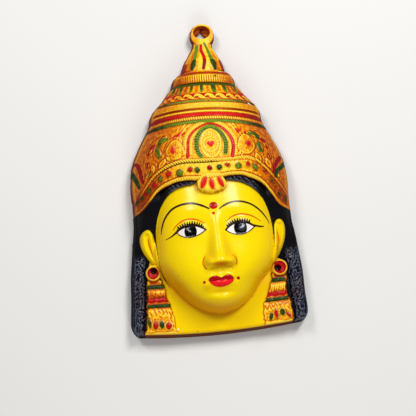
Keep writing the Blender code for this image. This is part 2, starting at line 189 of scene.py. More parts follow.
def local(x, y, points, reach):
    """Which places lie within reach of the box round these points."""
    p = np.asarray(points, float)
    return ((x > p[:, 0].min() - reach) & (x < p[:, 0].max() + reach)
            & (y > p[:, 1].min() - reach) & (y < p[:, 1].max() + reach))


def stroke(x, y, points, widths, n=8):
    """A brush stroke or a raised cord: positive inside, 0 at its edge, and the length run along it."""
    out, along = np.full(x.shape, FAR), np.zeros(x.shape)
    line = smooth_line(points, n=n) if len(points) > 2 else np.array(points, float)
    here = local(x, y, line, 4.0 + max(widths))
    if here.any():
        d, run, _, total = near_line(x[here], y[here], line)
        w = np.interp(run / total, np.linspace(0, 1, len(widths)), widths)
        out[here] = np.maximum(w / 2 - d, FAR)
        along[here] = run
    return out, along


def patch(x, y, points, n=6):
    """A filled closed shape: positive inside."""
    out = np.full(x.shape, FAR)
    loop = smooth_line(points, closed=True, n=n)
    here = local(x, y, loop, 6.0)
    if here.any():
        out[here] = np.maximum(inside_of(x[here], y[here], loop), FAR)
    return out


def oval(x, y, cx, cy, rx, ry, turn=0.0, point=0.0):
    """A filled oval, pointed at its upper end by `point`: positive inside, roughly in millimetres."""
    c, s = math.cos(math.radians(turn)), math.sin(math.radians(turn))
    u, v = (x - cx) * c + (y - cy) * s, -(x - cx) * s + (y - cy) * c
    narrow = 1 - point * np.clip(v / ry, -0.2, 1.0)
    k = np.hypot(u / (rx * narrow), v / ry)
    return np.maximum((1 - k) * min(rx, ry), FAR)


def leaf(x, y, cx, cy, long, wide, turn):
    """A leaf pointed at both ends, `turn` degrees from upright: positive inside, and its own coordinates."""
    c, s = math.cos(math.radians(turn)), math.sin(math.radians(turn))
    u, v = (x - cx) * c + (y - cy) * s, -(x - cx) * s + (y - cy) * c
    half = wide * np.clip(1 - (v / long) ** 2, -0.5, 1)
    return np.maximum(half - np.abs(u), FAR), u, v


# ---------------------------------------------------------------- the plan of the mask, as in the solid
def lean(y):
    return -1.75 * np.exp(-((y - 140.0) / 45.0) ** 2) - 0.7 * np.exp(-((y - 194.0) / 12.0) ** 2)


def bottom_edge(x):
    return BOTTOM_MID + BOTTOM_BOW * x * x + BOTTOM_TILT * x


# the crown's lower border (level 113.1) and the rope over the jewels (level 127.3) as they run on this cast
BORDER = ((-63.0, 91.6), (-60.6, 92.6), (-54.7, 94.2), (-50.9, 96.6), (-47.1, 100.4), (-42.3, 105.8), (-37.4, 109.3),
          (-31.3, 111.7), (-25.0, 113.2), (-18.7, 113.6), (-11.7, 113.1), (-2.0, 113.5), (6.4, 114.4), (13.6, 115.5),
          (20.5, 115.4), (26.5, 113.6), (33.2, 111.0), (37.9, 107.6), (40.9, 103.9), (43.9, 100.0), (46.6, 95.9),
          (50.5, 92.8), (56.2, 90.9), (61.0, 90.2))
ROPE = ((-63.0, 95.6), (-57.5, 101.4), (-53.0, 107.0), (-48.8, 112.4), (-44.5, 117.4), (-39.2, 121.6), (-34.8, 124.1),
        (-28.8, 126.3), (-24.2, 127.3), (-18.0, 127.6), (-13.9, 127.3), (-5.6, 127.1), (2.0, 127.1), (9.4, 127.1),
        (16.7, 127.6), (22.3, 128.2), (26.3, 128.2), (30.2, 127.2), (34.1, 125.3), (37.1, 123.0), (40.0, 120.4),
        (44.0, 116.3), (49.0, 110.6), (53.5, 104.6), (58.0, 98.6), (61.0, 95.0))


def border_drop(x, level):
    low_, top = 113.1 - stations(BORDER, x), 127.3 - stations(ROPE, x)
    return low_ + (top - low_) * np.clip((level - 113.1) / 14.2, 0, 1)


def follow(level):
    up = np.clip((157.0 - level) / 27.0, 0, 1)
    down = np.clip((level - 52.0) / 61.0, 0, 1)
    return np.minimum(up * up * (3 - 2 * up), down)


def row_y(x, level):
    sag = np.interp(level, (138, 152, 160, 173, 240), (0, 2.8, 2.5, 1.0, 1.0)) * (x / 45.0) ** 2
    tilt = 0.02 * x * ramp(140, 152, level)
    return (level - border_drop(x, level) * follow(level) - sag - tilt
            + bottom_edge(x) * (1 - ramp(0, 40, level)))


def level_of(x, y):
    lo, hi = np.full_like(y, -30.0), np.full_like(y, 290.0)
    for _ in range(26):
        mid = (lo + hi) / 2
        under = row_y(x, mid) < y
        lo, hi = np.where(under, mid, lo), np.where(under, hi, mid)
    return (lo + hi) / 2


def half_width(y):
    return stations(OUTLINE, y)


def edge_distance(x, y):
    up = y - bottom_edge(x) * (1 - ramp(0, 40, y))
    w = half_width(up)
    grow = (half_width(up + 0.7) - half_width(up - 0.7)) / 1.4
    side = (w - np.abs(x - lean(y))) / np.sqrt(1 + np.minimum(grow * grow, 9.0))
    return side, up


# ---------------------------------------------------------------- outlines drawn on the mask
FACE = ((-12.0, 112.6), (-15.3, 110.3), (-20.5, 109.8), (-27.2, 108.0), (-33.3, 104.2), (-38.0, 98.2), (-41.4, 90.7),
        (-43.4, 82.3), (-44.2, 73.9), (-43.9, 66.0), (-43.2, 58.5), (-41.7, 50.7), (-38.5, 44.6), (-33.9, 37.6),
        (-29.1, 31.2), (-23.4, 25.8), (-17.0, 21.5), (-10.1, 18.5), (-2.7, 16.8), (4.8, 17.0), (11.8, 19.4),
        (18.0, 23.0), (23.3, 27.6), (27.5, 33.0), (31.8, 38.6), (37.4, 44.6), (40.3, 51.8), (41.8, 58.5), (42.3, 66.0), (42.2, 73.3),
        (41.1, 82.7), (39.2, 90.5), (35.3, 99.2), (28.6, 106.0), (20.1, 110.4), (12.0, 111.8), (8.5, 112.6),
        (7.0, 116.5), (-2.0, 118.5), (-10.0, 117.0))
EAR_L = ((-49.4, 81.0), (-52.8, 80.2), (-55.4, 77.6), (-56.3, 74.0), (-55.6, 68.4), (-53.3, 63.2), (-50.4, 58.8),
         (-48.0, 55.8), (-46.0, 54.0), (-44.2, 54.0), (-43.4, 57.5), (-43.9, 63.0), (-44.5, 68.5), (-45.6, 73.5),
         (-46.9, 78.4))
EAR_R = ((47.2, 83.3), (49.6, 82.5), (51.3, 79.8), (51.9, 76.0), (51.5, 70.0), (49.9, 64.5), (47.7, 59.6),
         (45.5, 55.6), (43.4, 52.6), (41.3, 50.9), (40.5, 53.0), (41.4, 58.0), (42.4, 64.0), (42.9, 70.0),
         (43.2, 75.5), (43.7, 79.3), (45.0, 82.2))
STUDS = {-1: (-47.9, 49.2, 4.9, -47.4, 50.9), 1: (46.2, 48.0, 5.2, 44.9, 47.6)}
NECK = ((-51.0, 53.0), (-51.0, 3.0), (-51.0, -8.0), (0.0, -10.0), (50.0, -8.0), (50.0, 6.0), (48.0, 50.0), (43.0, 55.0),
        (38.5, 58.0), (28.0, 58.0), (0.0, 58.0), (-28.0, 58.0), (-40.0, 60.0), (-45.5, 58.0))


def pendant(x, y, side):
    """Distance in from the edge of an earring's hanging part, and how far across it, 0 to 1."""
    if side < 0:
        left = np.interp(y, (4, 16, 40), (-56.3, -54.3, -52.9))
        right = np.interp(y, (4, 16, 25, 30, 40.5), (-32.3, -34.1, -36.3, -38.2, -40.2))
        high_end = 41.0
    else:
        left = np.interp(y, (8, 22, 25, 30, 40), (32.0, 31.9, 34.9, 35.8, 40.0))
        right = np.interp(y, (8, 22, 26, 40), (54.0, 53.2, 50.6, 49.9))
        high_end = 40.6
    wave = 0.30 * np.sin(y * 0.55) + 0.14 * np.sin(y * 1.25 + 1)
    inside = np.minimum(np.minimum(x - left + wave, right - x + wave), np.minimum(y - bottom_edge(x) + 1.5, high_end - y))
    return inside, np.clip((x - left) / (right - left), 0, 1)


def hair_lock(x, y, side):
    w = half_width(y) - 2.2
    if side < 0:
        outer, inner = -w, np.interp(y, (0, 5, 20, 40, 60), (-57.4, -56.8, -55.2, -53.8, -52.2))
    else:
        outer, inner = w, np.interp(y, (0, 8, 18, 32, 43, 56, 66), (55.0, 55.0, 55.2, 52.9, 52.3, 49.4, 52.0))
    mid, half = (outer + inner) / 2, np.abs(outer - inner) / 2
    return 1 - np.abs(x - mid) / half


# ---------------------------------------------------------------- the face
def head_frame(x, y):
    t = math.radians(1.5)
    return (x - 0.1) * math.cos(t) + (y - 70) * math.sin(t), -(x - 0.1) * math.sin(t) + (y - 70) * math.cos(t) + 70


# each eye: corners and lids, the iris, and the tail of the outer corner
EYES = {
    -1: dict(upper=((-29.0, 76.6), (-26.5, 78.5), (-23.3, 80.1), (-19.8, 80.9), (-16.3, 80.9), (-12.4, 79.8), (-7.6, 77.0)),
             lower=((-29.0, 76.6), (-26.6, 74.2), (-23.2, 72.6), (-19.3, 72.0), (-15.6, 72.6), (-11.4, 74.3), (-7.6, 77.0)),
             iris=(-18.75, 76.3, 4.5, 5.6), tail=((-28.2, 77.2), (-30.6, 75.3), (-33.4, 73.6), (-37.3, 72.0)),
             crease=((-31.4, 78.6), (-28.6, 81.7), (-25.2, 84.0), (-21.6, 85.2), (-17.8, 85.4), (-13.6, 84.6), (-8.6, 81.9))),
    1: dict(upper=((6.4, 75.8), (9.2, 78.5), (13.0, 80.7), (17.2, 81.4), (21.2, 80.9), (24.6, 79.6), (28.0, 77.6)),
            lower=((6.4, 75.8), (9.6, 73.6), (13.4, 72.3), (17.4, 72.0), (21.2, 72.8), (24.8, 74.9), (28.0, 77.6)),
            iris=(17.35, 77.0, 4.75, 6.0), tail=((26.6, 78.6), (29.0, 78.0), (31.6, 77.5), (34.9, 77.4)),
            crease=((7.4, 82.0), (11.4, 85.2), (15.6, 86.7), (20.0, 86.9), (24.6, 86.0), (28.6, 84.2), (33.0, 81.4))),
}


def lids(x, y, side):
    """Height above the upper lid's line, height above the lower lid's line, and place across the eye, 0 to 1."""
    e = EYES[side]
    a, b = e["upper"][0][0], e["upper"][-1][0]
    up = y - stations(e["upper"], x)
    down = y - stations(e["lower"], x)
    t = (x - a) / (b - a)
    return up, down, t


# half width of the face's oval and how far it leans sideways, at heights in the head's own frame
JAW = ((14.0, 12.0), (16.9, 16.8), (19.0, 23.7), (22.3, 27.8), (26.8, 30.5), (32.2, 32.7), (38.2, 35.1), (45.0, 39.9),
       (55.0, 44.6), (65.0, 46.5), (120.0, 46.5))
JAW_LEAN = ((14.0, 0.0), (19.0, -0.5), (27.0, -1.2), (38.0, -1.9), (48.0, -1.0), (64.0, 0.0), (120.0, 0.0))


def face_oval(u, v):
    """The plain rounded form of the head, without its features."""
    aside = u - stations(JAW_LEAN, v)
    rho = (np.abs(aside / stations(JAW, v)) ** 2.5
           + np.where(v > 65, np.abs((v - 65) / 85.0) ** 2.0, np.abs((v - 65) / 48.5) ** 3.0))
    return 12 + 33.5 * np.sqrt(np.clip(1 - rho, 0, 1))


def face(x, y):
    """The bare face: forehead, cheeks, eyes, nose, lips and chin."""
    u, v = head_frame(x, y)
    z = face_oval(u, v)
    z = z + 1.6 * mound(np.abs(u), v, 23, 54, 12, 12)                      # cheeks
    z = z + 2.6 * mound(u, v, 0, 42, 17, 12)                               # mouth area
    z = z + 4.6 * mound(u, v, 0, 26.5, 10.0, 5.8)                          # chin
    z = z - 1.6 * mound(u, v, 0, 31.4, 8.0, 1.8)                           # crease under the lip
    z = z - 1.6 * mound(np.abs(u), v, 12, 81, 8, 7)                        # eye hollows
    z = z + 1.3 * mound(np.abs(u), v, 18, 76.5, 9.5, 5.0)                  # eyeballs
    z = z + 0.6 * mound(np.abs(u), v, 18, 92, 15, 4.5)                     # brows
    # nose: a narrow flat bridge that widens to the tip, which is undercut along an arch
    along = np.clip((93 - v) / 39.0, 0, 1.0)
    un = u - 0.8 * along
    arch = v + np.where(un < 0, np.minimum(0.036 * un * un, 3.4), np.minimum(0.021 * un * un, 2.2))
    under = ramp(50.7, 53.3, arch)
    ridge = 9.9 * along**1.3 * under
    wide = 4.4 + 3.2 * along**2
    z = z + ridge * np.exp(-np.abs(un / wide) ** (2.0 + 0.9 * along**2)) * (v < 94)
    z = z + 0.6 * mound(un, v, 0, 56.2, 3.8, 2.4)                          # ball of the tip
    wing = mound(np.abs(un), v, 8.5, 53.4, 3.2, 4.0)
    z = z + 4.1 * wing * ramp(48.2, 50.8, v - 0.8 * (un > 0))              # nostril wings
    z = z - 0.9 * mound(np.abs(un), v, 12.2, 54.0, 1.3, 4.3)               # fold beside each wing
    z = z - 0.5 * mound(np.abs(un), v, 6.2, 49.4, 1.2, 0.8)                # nostrils, only hollows
    z = z - 0.55 * mound(u, v, 1.2, 47.4, 1.1, 2.4)                        # groove over the lip
    # lips: the upper one looks down, the lower one up
    z = z + 2.0 * mound(np.abs(u - 0.8), v, 3.7, 42.3, 5.2, 1.9)
    z = z + 2.9 * mound(u, v, 0.8, 38.0, 7.2, 2.5)
    z = z - 0.55 * np.exp(-((v - 40.5 - 0.03 * u) / 0.8) ** 2) * ramp(10.5, 7.5, np.abs(u - 0.8))
    z = z - 0.8 * mound(np.abs(u - 0.8), v, 10.2, 40.2, 1.6, 1.8)          # mouth corners
    z = z + 0.55 * np.clip(oval(x, y, -1.1, 94.2, 3.2, 2.65) / 1.6, 0, 1) ** 0.7   # the dot is a drop of paint
    for side in (-1, 1):
        over, above, t = lids(x, y, side)
        span = ramp(-0.12, 0.05, t) * ramp(1.12, 0.95, t)
        z = z + 0.55 * np.exp(-((over - 0.2) / 1.0) ** 2) * span           # edge of the upper lid
        z = z + 0.30 * np.exp(-((above + 0.3) / 0.8) ** 2) * span          # edge of the lower lid
        open_ = ramp(0.2, -0.8, over) * ramp(-0.2, 0.8, above) * ramp(0, 0.05, t) * ramp(1, 0.95, t)
        z = z - 0.35 * open_
        d, _ = stroke(x, y, EYES[side]["crease"], (0.6, 1.0, 1.0, 0.6))
        z = z - 0.30 * ramp(-0.7, 0.4, d)                                  # fold of the lid
    return z


def ear_relief(x, y, loop, side):
    """How much an ear rises here: a rolled rim round a hollow that runs down to the lobe."""
    d = patch(x, y, loop)
    line = ((-50.6, 76.4), (-50.2, 71.5), (-49.0, 66.5), (-47.4, 61.0)) if side < 0 else \
        ((46.8, 78.6), (46.9, 73.0), (46.2, 67.0), (44.6, 60.5))
    dip, _ = stroke(x, y, line, (4.6, 4.2, 3.0, 1.6))
    rise = 5.0 * np.clip((d + 0.25) / 2.3, 0, 1) ** 0.55
    rise = rise - 1.9 * ramp(-0.6, 1.6, dip)
    return np.where(d > -0.25, rise, 0.0), d


def earring_rows(x, y, t, side):
    """Rolls, flutes, zigzag and gems of a hanging earring."""
    o = 0.0 if side < 0 else -0.4
    slope = 0.0 if side < 0 else 0.06 * (x - 43.0)
    r = y - o - slope
    z = 1.2 * np.exp(-(np.abs(r - 39.0) / 1.5) ** 3)
    flute = np.abs(np.cos(math.pi * t * 8.0)) ** 0.8
    z = z + np.exp(-((r - 33.9) / 2.9) ** 4) * (1.7 + (0.12 if side < 0 else 0.50) * flute)
    z = z + 1.3 * np.exp(-(np.abs(r - 29.0) / 1.7) ** 3) * (1 + 0.12 * np.cos(t * 30))
    z = z + 1.0 * np.exp(-(np.abs(r - 24.9) / 1.15) ** 3)
    z = z + 0.7 * np.exp(-((r - 19.0) / 3.2) ** 4)
    z = z - 0.26 * ramp(-0.45, 0.25, squiggles(x, y, side))
    z = z + 0.28 * noise(x / 1.7, y / 1.7, 24)
    for i, (cx, cy, rx, ry, turn, _) in enumerate(EARRING_GEMS[side]):
        k = oval(x, y, cx, cy, rx + 1.0, ry + 1.0, turn)
        g = oval(x, y, cx, cy, rx, ry, turn)
        z = z + 0.75 * np.clip(k / 0.8, 0, 1) ** 0.6 - 0.55 * ramp(-0.35, 0.1, g) + 0.95 * np.clip(g / rx, 0, 1) ** 0.5
    return z


# short bent strokes cut over the gems of each earring
SQUIGGLES = {
    -1: (((-52.2, 20.6), (-50.9, 18.8), (-50.6, 16.6)), ((-49.2, 22.0), (-47.6, 19.6), (-46.9, 17.6)), ((-46.0, 21.6), (-44.2, 19.9)),
         ((-43.3, 22.4), (-41.8, 20.2), (-42.4, 18.4)), ((-40.4, 21.6), (-38.9, 18.7)), ((-37.8, 20.4), (-36.4, 17.4), (-37.0, 15.2)),
         ((-53.6, 17.2), (-52.4, 15.8)), ((-44.9, 17.4), (-43.4, 15.8))),
    1: (((33.4, 20.4), (34.9, 17.4), (36.5, 20.2), (38.2, 17.2)), ((38.2, 21.6), (39.6, 18.8), (41.2, 21.4), (42.6, 18.8)),
        ((43.0, 22.4), (44.6, 19.6), (46.2, 22.2), (47.7, 19.4)), ((47.4, 23.4), (49.0, 20.6), (50.6, 22.4), (51.6, 19.2)),
        ((36.2, 22.8), (37.2, 21.4)), ((50.4, 18.6), (52.2, 16.2))),
}


def squiggles(x, y, side):
    best = np.full(x.shape, FAR)
    for points in SQUIGGLES[side]:
        best = np.maximum(best, stroke(x, y, points, (0.7, 1.05, 0.9, 0.6), n=5)[0])
    return best


EARRING_GEMS = {
    -1: ((-52.7, 12.6, 1.15, 3.4, 6, "green"), (-48.2, 10.9, 1.75, 3.1, -4, "red"), (-43.6, 11.0, 1.65, 2.8, 4, "green"),
         (-38.6, 9.8, 2.1, 2.6, -6, "red")),
    1: ((37.4, 12.0, 1.3, 2.7, -12, "green"), (41.3, 13.6, 1.25, 3.3, 8, "red"), (45.9, 14.7, 1.7, 2.5, 8, "green"),
        (50.4, 12.7, 1.15, 2.7, 35, "red")),
}


def curls(x, y):
    """Curly hair: short worm-like ridges, -1 in the gaps to 1 on the curls."""
    wx = x + 1.8 * noise(x / 4.2, y / 4.2, 5) + 0.9 * noise(x / 2.2, y / 2.2, 8)
    wy = y + 2.2 * noise(x / 4.0 + 9, y / 4.6, 6) + 0.9 * noise(x / 2.1, y / 2.3, 9)
    a = noise(wx / 2.1, wy / 4.0, 11)
    b = noise(wx / 1.3 + 4, wy / 1.9, 12)
    return (1 - 2.6 * np.abs(a)) * 0.80 + (1 - 2.6 * np.abs(b)) * 0.35 - 0.25


def lower_part(x, y):
    """Everything under the crown: hair, face, ears, earrings, locks and neck."""
    across = np.abs(x - lean(y))
    w = half_width(y) - 2.8
    t = np.clip((across - 42.0) / (w - 42.0), 0, 1)
    swell = 4.5 + 13.5 * ramp(50, 98, y)
    hair = 9 + swell * (1 - t**2.2) ** 0.6
    neck = 13.6
    ground = neck + (np.minimum(hair, 26) - neck) * ramp(44, 58, y)
    inside = patch(x, y, FACE)
    strand = ramp(0.3, -0.7, inside) * ramp(60, 80, y)
    twist = np.cos(2 * math.pi * (np.abs(x + 1.5) * 0.62 + (y - 100) * 0.55 * np.sign(x + 1.5)) / 2.3)
    front = ramp(90, 101, y)                                               # the twisted front hair
    z = high(ground, face(x, y), 1.6 + 1.8 * ramp(46, 34, y))
    roll = np.sqrt(np.clip(-inside / 3.6, 0, 1))
    near = ramp(37, 30, np.abs(x + 1.5))
    z = z + strand * (1.0 + front * (4.3 * roll + near * (0.28 * twist * roll + 0.36 * noise(x / 1.1, y / 1.1, 21))))
    z = z + 0.18 * strand * (1 - front) * noise(x / 6, y / 14, 22)
    for side in (-1, 1):
        k = hair_lock(x, y, side)
        on = ramp(-0.02, 0.10, k) * (1 - ramp(54, 64, y))
        roll = 10 + 6.4 * np.sqrt(np.clip(1 - (1 - np.clip(k, 0, 1)) ** 2, 0, 1))
        tex = curls(x, y) * (0.85 + 0.25 * noise(x / 7, y / 9, 3))
        tex = tex * ramp(0.02, 0.25, k)
        z = z * (1 - on) + (roll + tex) * on
        fade = (np.sign(x) == side) * ramp(-0.02, 0.2, k) * ramp(72, 58, y) * ramp(52, 58, y)
        z = z + 0.5 * curls(x, y) * fade * (np.abs(x) > 50)
        p, q = pendant(x, y, side)
        on = ramp(-0.9, 0.1, p)
        lip = np.clip((p + 0.7) / 1.9, 0, 1)
        z = z * (1 - on) + on * (neck + 2.9 * lip**0.75 + earring_rows(x, y, q, side) * lip)
        cx, cy, r0, hx, hy = STUDS[side]
        r = np.hypot(x - cx, (y - cy) * 0.97)
        rh = np.hypot(x - hx, y - hy)
        boss = 15.2 + 4.3 * np.sqrt(np.clip(1 - ((r - 1.0) / (r0 + 0.3)) ** 4, 0, 1))
        ring = 0.9 * np.exp(-((r - r0 + 0.3) / 0.6) ** 2)
        dish = -1.3 * ramp(r0 - 0.7, r0 - 2.2, r)
        z = np.where(r < r0 + 1.2, np.maximum(z, boss + ring + dish), z)
        hook, _ = stroke(x, y, ((cx + side * 0.6, cy - 3), (cx - side * 0.5, 42.0)), (7.5, 11.5))
        z = np.maximum(z, np.where(hook > 0, 15.2 + 1.6 * np.clip(hook / 1.2, 0, 1) ** 0.6, 0))
        rise, d = ear_relief(x, y, EAR_L if side < 0 else EAR_R, side)
        z = z + rise
        z = z - 3.6 * ramp(2.75, 1.7, rh)
        z = z - 0.45 * np.exp(-((d - 0.0) / 0.5) ** 2) * (d > -2)          # a line cut round the ear
    return z


# ---------------------------------------------------------------- the crown
BANDS = ((113.4, 116.2, 1.3), (126.0, 128.6, 1.3), (155.4, 157.9, 1.0), (158.0, 160.5, 1.2),
         (160.8, 163.7, 0.6), (164.0, 165.4, 0.6), (165.6, 167.1, -0.8), (167.3, 171.9, 2.0),
         (172.4, 174.4, 0.8), (186.7, 188.4, 0.5), (188.7, 195.1, 2.2))
# notched rolls: lower level, upper level, pitch, slant in mm, depth, and how dark the cuts are coloured
NOTCHES = ((113.6, 116.4, 1.85, 0.5, 0.42, 0.55), (126.1, 128.7, 1.95, 0.8, 0.62, 0.55), (155.3, 157.8, 1.50, 0.5, 0.45, 0.85),
           (158.1, 160.5, 1.75, 0.3, 0.50, 0.75), (172.4, 174.3, 1.5, 0.6, 0.32, 0.75), (188.9, 194.8, 1.78, 0.0, 0.50, 0.62),
           (168.0, 171.6, 1.25, 1.6, 0.16, 0.25))

HEART = (-0.3, 138.6)
ARCH_OVAL = (-0.1, 139.4, 7.2, 10.6)
GREEN_ARCH = ((-7.6, 129.9), (-9.6, 133.0), (-10.6, 138.2), (-9.4, 144.8), (-5.4, 149.9), (0.4, 151.9), (5.9, 148.8),
              (9.6, 143.2), (10.7, 137.4), (9.9, 131.6))
RED_ARCH = ((-17.4, 130.6), (-17.0, 137.0), (-15.9, 143.9), (-12.2, 148.9), (-5.9, 152.9), (0.6, 154.2), (8.4, 151.0),
            (14.2, 144.2), (16.2, 137.3), (15.0, 129.4))
MEDALLIONS = ((-26.3, 136.6, 6.6, 7.6, -4.0), (25.6, 138.3, 6.4, 7.8, 6.0))
# raised leaves of the tier: x, y, half length, half width, turn
LEAVES = ((-36.2, 127.4, 4.4, 1.9, -38), (-38.4, 135.8, 4.6, 2.2, 8), (-43.2, 124.9, 3.6, 1.5, 4), (-34.6, 145.2, 4.2, 1.7, -55),
          (-44.6, 139.2, 4.2, 1.6, -38), (-47.1, 127.9, 3.2, 1.2, -5), (-46.4, 120.6, 3.0, 1.3, -50),
          (-51.5, 120.5, 4.2, 1.4, 10), (-31.6, 130.6, 2.6, 1.1, 40),
          (36.2, 136.0, 4.7, 2.1, 12), (34.3, 127.6, 4.6, 2.4, 20), (42.0, 124.2, 4.4, 2.1, 24), (32.3, 146.0, 4.4, 1.7, 62),
          (40.8, 139.2, 4.2, 1.5, 32), (43.3, 129.6, 3.4, 1.3, 14), (48.2, 117.0, 3.6, 1.5, 35), (20.6, 131.6, 2.2, 1.0, -35))
GEMS = ((-59.6, 101.6, 0.9, 2.8, 6, "red"), (-56.8, 102.0, 1.1, 2.0, -20, "green"), (-55.2, 104.6, 1.1, 2.3, -20, "red"),
        (-52.4, 104.9, 1.35, 2.1, -10, "green"), (-49.9, 107.4, 1.15, 2.5, -25, "red"), (-47.0, 108.9, 1.6, 2.2, -18, "green"),
        (-42.6, 112.6, 1.9, 2.2, 0, "red"), (-38.2, 116.4, 1.75, 2.2, -4, "green"), (-32.1, 119.2, 2.0, 2.7, -16, "red"),
        (-24.0, 119.2, 2.5, 2.7, 10, "green"), (-16.3, 121.0, 2.0, 2.0, 0, "red"), (-11.2, 120.3, 1.9, 2.2, 0, "green"),
        (-2.3, 121.3, 1.75, 1.95, 30, "red"), (4.9, 121.4, 2.1, 2.1, 0, "green"), (10.9, 122.9, 1.45, 2.2, 58, "red"),
        (18.9, 122.0, 2.4, 2.3, 0, "green"), (26.0, 123.1, 1.5, 2.0, 30, "red"), (31.3, 120.9, 1.8, 2.8, 32, "green"),
        (38.3, 118.1, 0.95, 2.1, 32, "red"), (43.2, 111.6, 1.15, 2.4, 16, "green"), (45.7, 107.9, 0.55, 1.2, 10, "green"),
        (48.8, 101.5, 1.1, 2.4, 2, "green"), (53.9, 98.1, 1.15, 2.3, 6, "green"))
FAN_LOBES = ((-7.3, 111.2, 4.5, 6.0, -24), (-4.2, 110.0, 4.2, 6.0, -12), (-1.3, 109.9, 4.4, 6.2, 1), (2.0, 110.2, 4.2, 6.0, 12),
             (4.7, 111.0, 4.2, 5.8, 24))
FAN_PETALS = ((-7.3, 110.9, 1.85, 4.9, -24), (-1.4, 109.6, 1.7, 4.2, 8), (5.2, 110.8, 1.65, 4.5, 24))


def run_along(x, y, level):
    """Length along a band from the middle; the crown's sides fall away, so it grows faster there."""
    w = half_width(np.maximum(y, 90)) - 2.4
    s = np.clip((x - lean(y)) / w, -1, 1)
    return w * (s + 0.32 * s**5)


def notch_phase(run, level, lo_, hi_, pitch, slant, seed):
    """Place along a notched roll in notches: a whole number in each cut."""
    wobble = 0.22 * noise(run / 4.0, level * 0 + seed, seed)
    return (run + slant * (level - (lo_ + hi_) / 2) + wobble) / pitch


def notch(run, level, lo_, hi_, pitch, slant, seed):
    """1 in the cuts of a notched roll, 0 on its beads."""
    phase = notch_phase(run, level, lo_, hi_, pitch, slant, seed)
    return np.abs(2 * (phase - np.floor(phase)) - 1) ** 2.2


def fan(x, y):
    """The petal ornament that hangs from the border over the forehead: positive inside."""
    f = np.full(x.shape, FAR)
    for cx, cy, rx, ry, turn in FAN_LOBES:
        f = np.maximum(f, oval(x, y, cx, cy, rx, ry, turn))
    top, _ = stroke(x, y, ((-7.5, 115.5), (-1.5, 116.3), (4.5, 115.8)), (4.6, 5.0, 4.6))
    return np.maximum(f, top)


def finial_lobes(x, y):
    """Upright soft lobes of the finial: 0 in the grooves between them, 1 on their backs."""
    w = half_width(y) - 2.0
    s = (x - 0.3) / w
    edges = (-1.02, -0.72, -0.40, -0.05, 0.34, 0.68, 1.02)
    gap = np.full(x.shape, 9.0)
    for e in edges:
        gap = np.minimum(gap, np.abs(s - e) * w)
    return gap


def crown(x, y, level):
    """The tiered crown and the finial."""
    across = np.abs(x - lean(y))
    s = np.clip(across / (half_width(y) - 0.9), 0, 1)
    dome = (1 - s**2.1) ** 0.62
    z = 9 + (stations(CROWN_RIDGE, level) - 9) * dome
    show = 0.35 + 0.65 * dome
    for lo_, hi_, out in BANDS:
        t = (level - (lo_ + hi_) / 2) / ((hi_ - lo_) / 2)
        z = z + out * np.sqrt(np.clip(1 - t * t, 0, 1)) * show
    run = run_along(x, y, level)
    for i, (lo_, hi_, pitch, slant, depth, _) in enumerate(NOTCHES):
        at = (level > lo_ - 0.4) & (level < hi_ + 0.4)
        if at.any():
            t = (level[at] - (lo_ + hi_) / 2) / ((hi_ - lo_) / 2)
            body = np.clip(1.15 - t**4, 0, 1)
            z[at] -= depth * show[at] * body * notch(run[at], level[at], lo_, hi_, pitch, slant, 30 + i)
    # flutes on the slope under the green line, spreading from the middle
    at = (level > 180.0) & (level < 187.0)
    fl = np.cos(2 * math.pi * run[at] / (3.9 + 0.10 * (186 - level[at])))
    z[at] += 0.22 * fl * ramp(180.2, 182.0, level[at]) * ramp(187.0, 185.6, level[at]) * show[at]
    # a row of curling leaves under the flutes
    at = (level > 174.0) & (level < 182.5)
    curl, hook = wave_leaves(run[at], level[at])
    z[at] += (0.8 * ramp(-0.2, 0.9, curl) - 0.5 * ramp(-0.3, 0.4, hook)) * show[at]
    # finial lobes
    at = level > 197.0
    g = finial_lobes(x[at], y[at])
    z[at] -= 0.26 * ramp(2.0, 0.0, g) * ramp(198.4, 200.5, level[at]) * ramp(222.5, 212.5, level[at])
    # hand-worked unevenness of the gilded plaster
    z = z + 0.11 * noise(x / 2.6, y / 2.6, 41) + 0.09 * noise(x / 1.1, y / 1.1, 42)
    at = (level > 116) & (level < 156)
    if at.any():
        z[at] += tier_relief(x[at], y[at], level[at]) * show[at]
    return z


WAVE_PITCH = 8.1


def wave_leaves(run, level):
    """The row of leaves that curl over to the left like breaking waves: positive inside a leaf, and in the
    dark hook under each curl."""
    n = np.floor((run + 1.4) / WAVE_PITCH)
    f = run + 1.4 - n * WAVE_PITCH
    crest = 0.5 * noise(n * 1.7, n * 0 + 3, 77)                            # no two are quite alike
    best, hook = np.full(run.shape, FAR), np.full(run.shape, FAR)
    for shift in (-WAVE_PITCH, 0.0, WAVE_PITCH):
        u, v = f - shift, level - 177.2 - crest * (shift == 0)
        best = np.maximum(best, stroke(u, v, ((9.6, -1.7), (7.0, -0.9), (4.9, 0.5), (3.2, 1.2), (1.7, 0.9), (0.9, -0.1)),
                                       (1.3, 2.6, 3.5, 3.2, 2.3, 0.9))[0])
        hook = np.maximum(hook, stroke(u, v, ((3.4, -0.3), (2.3, -0.5), (1.2, -1.1)), (1.2, 1.5, 0.9))[0])
    return best, hook


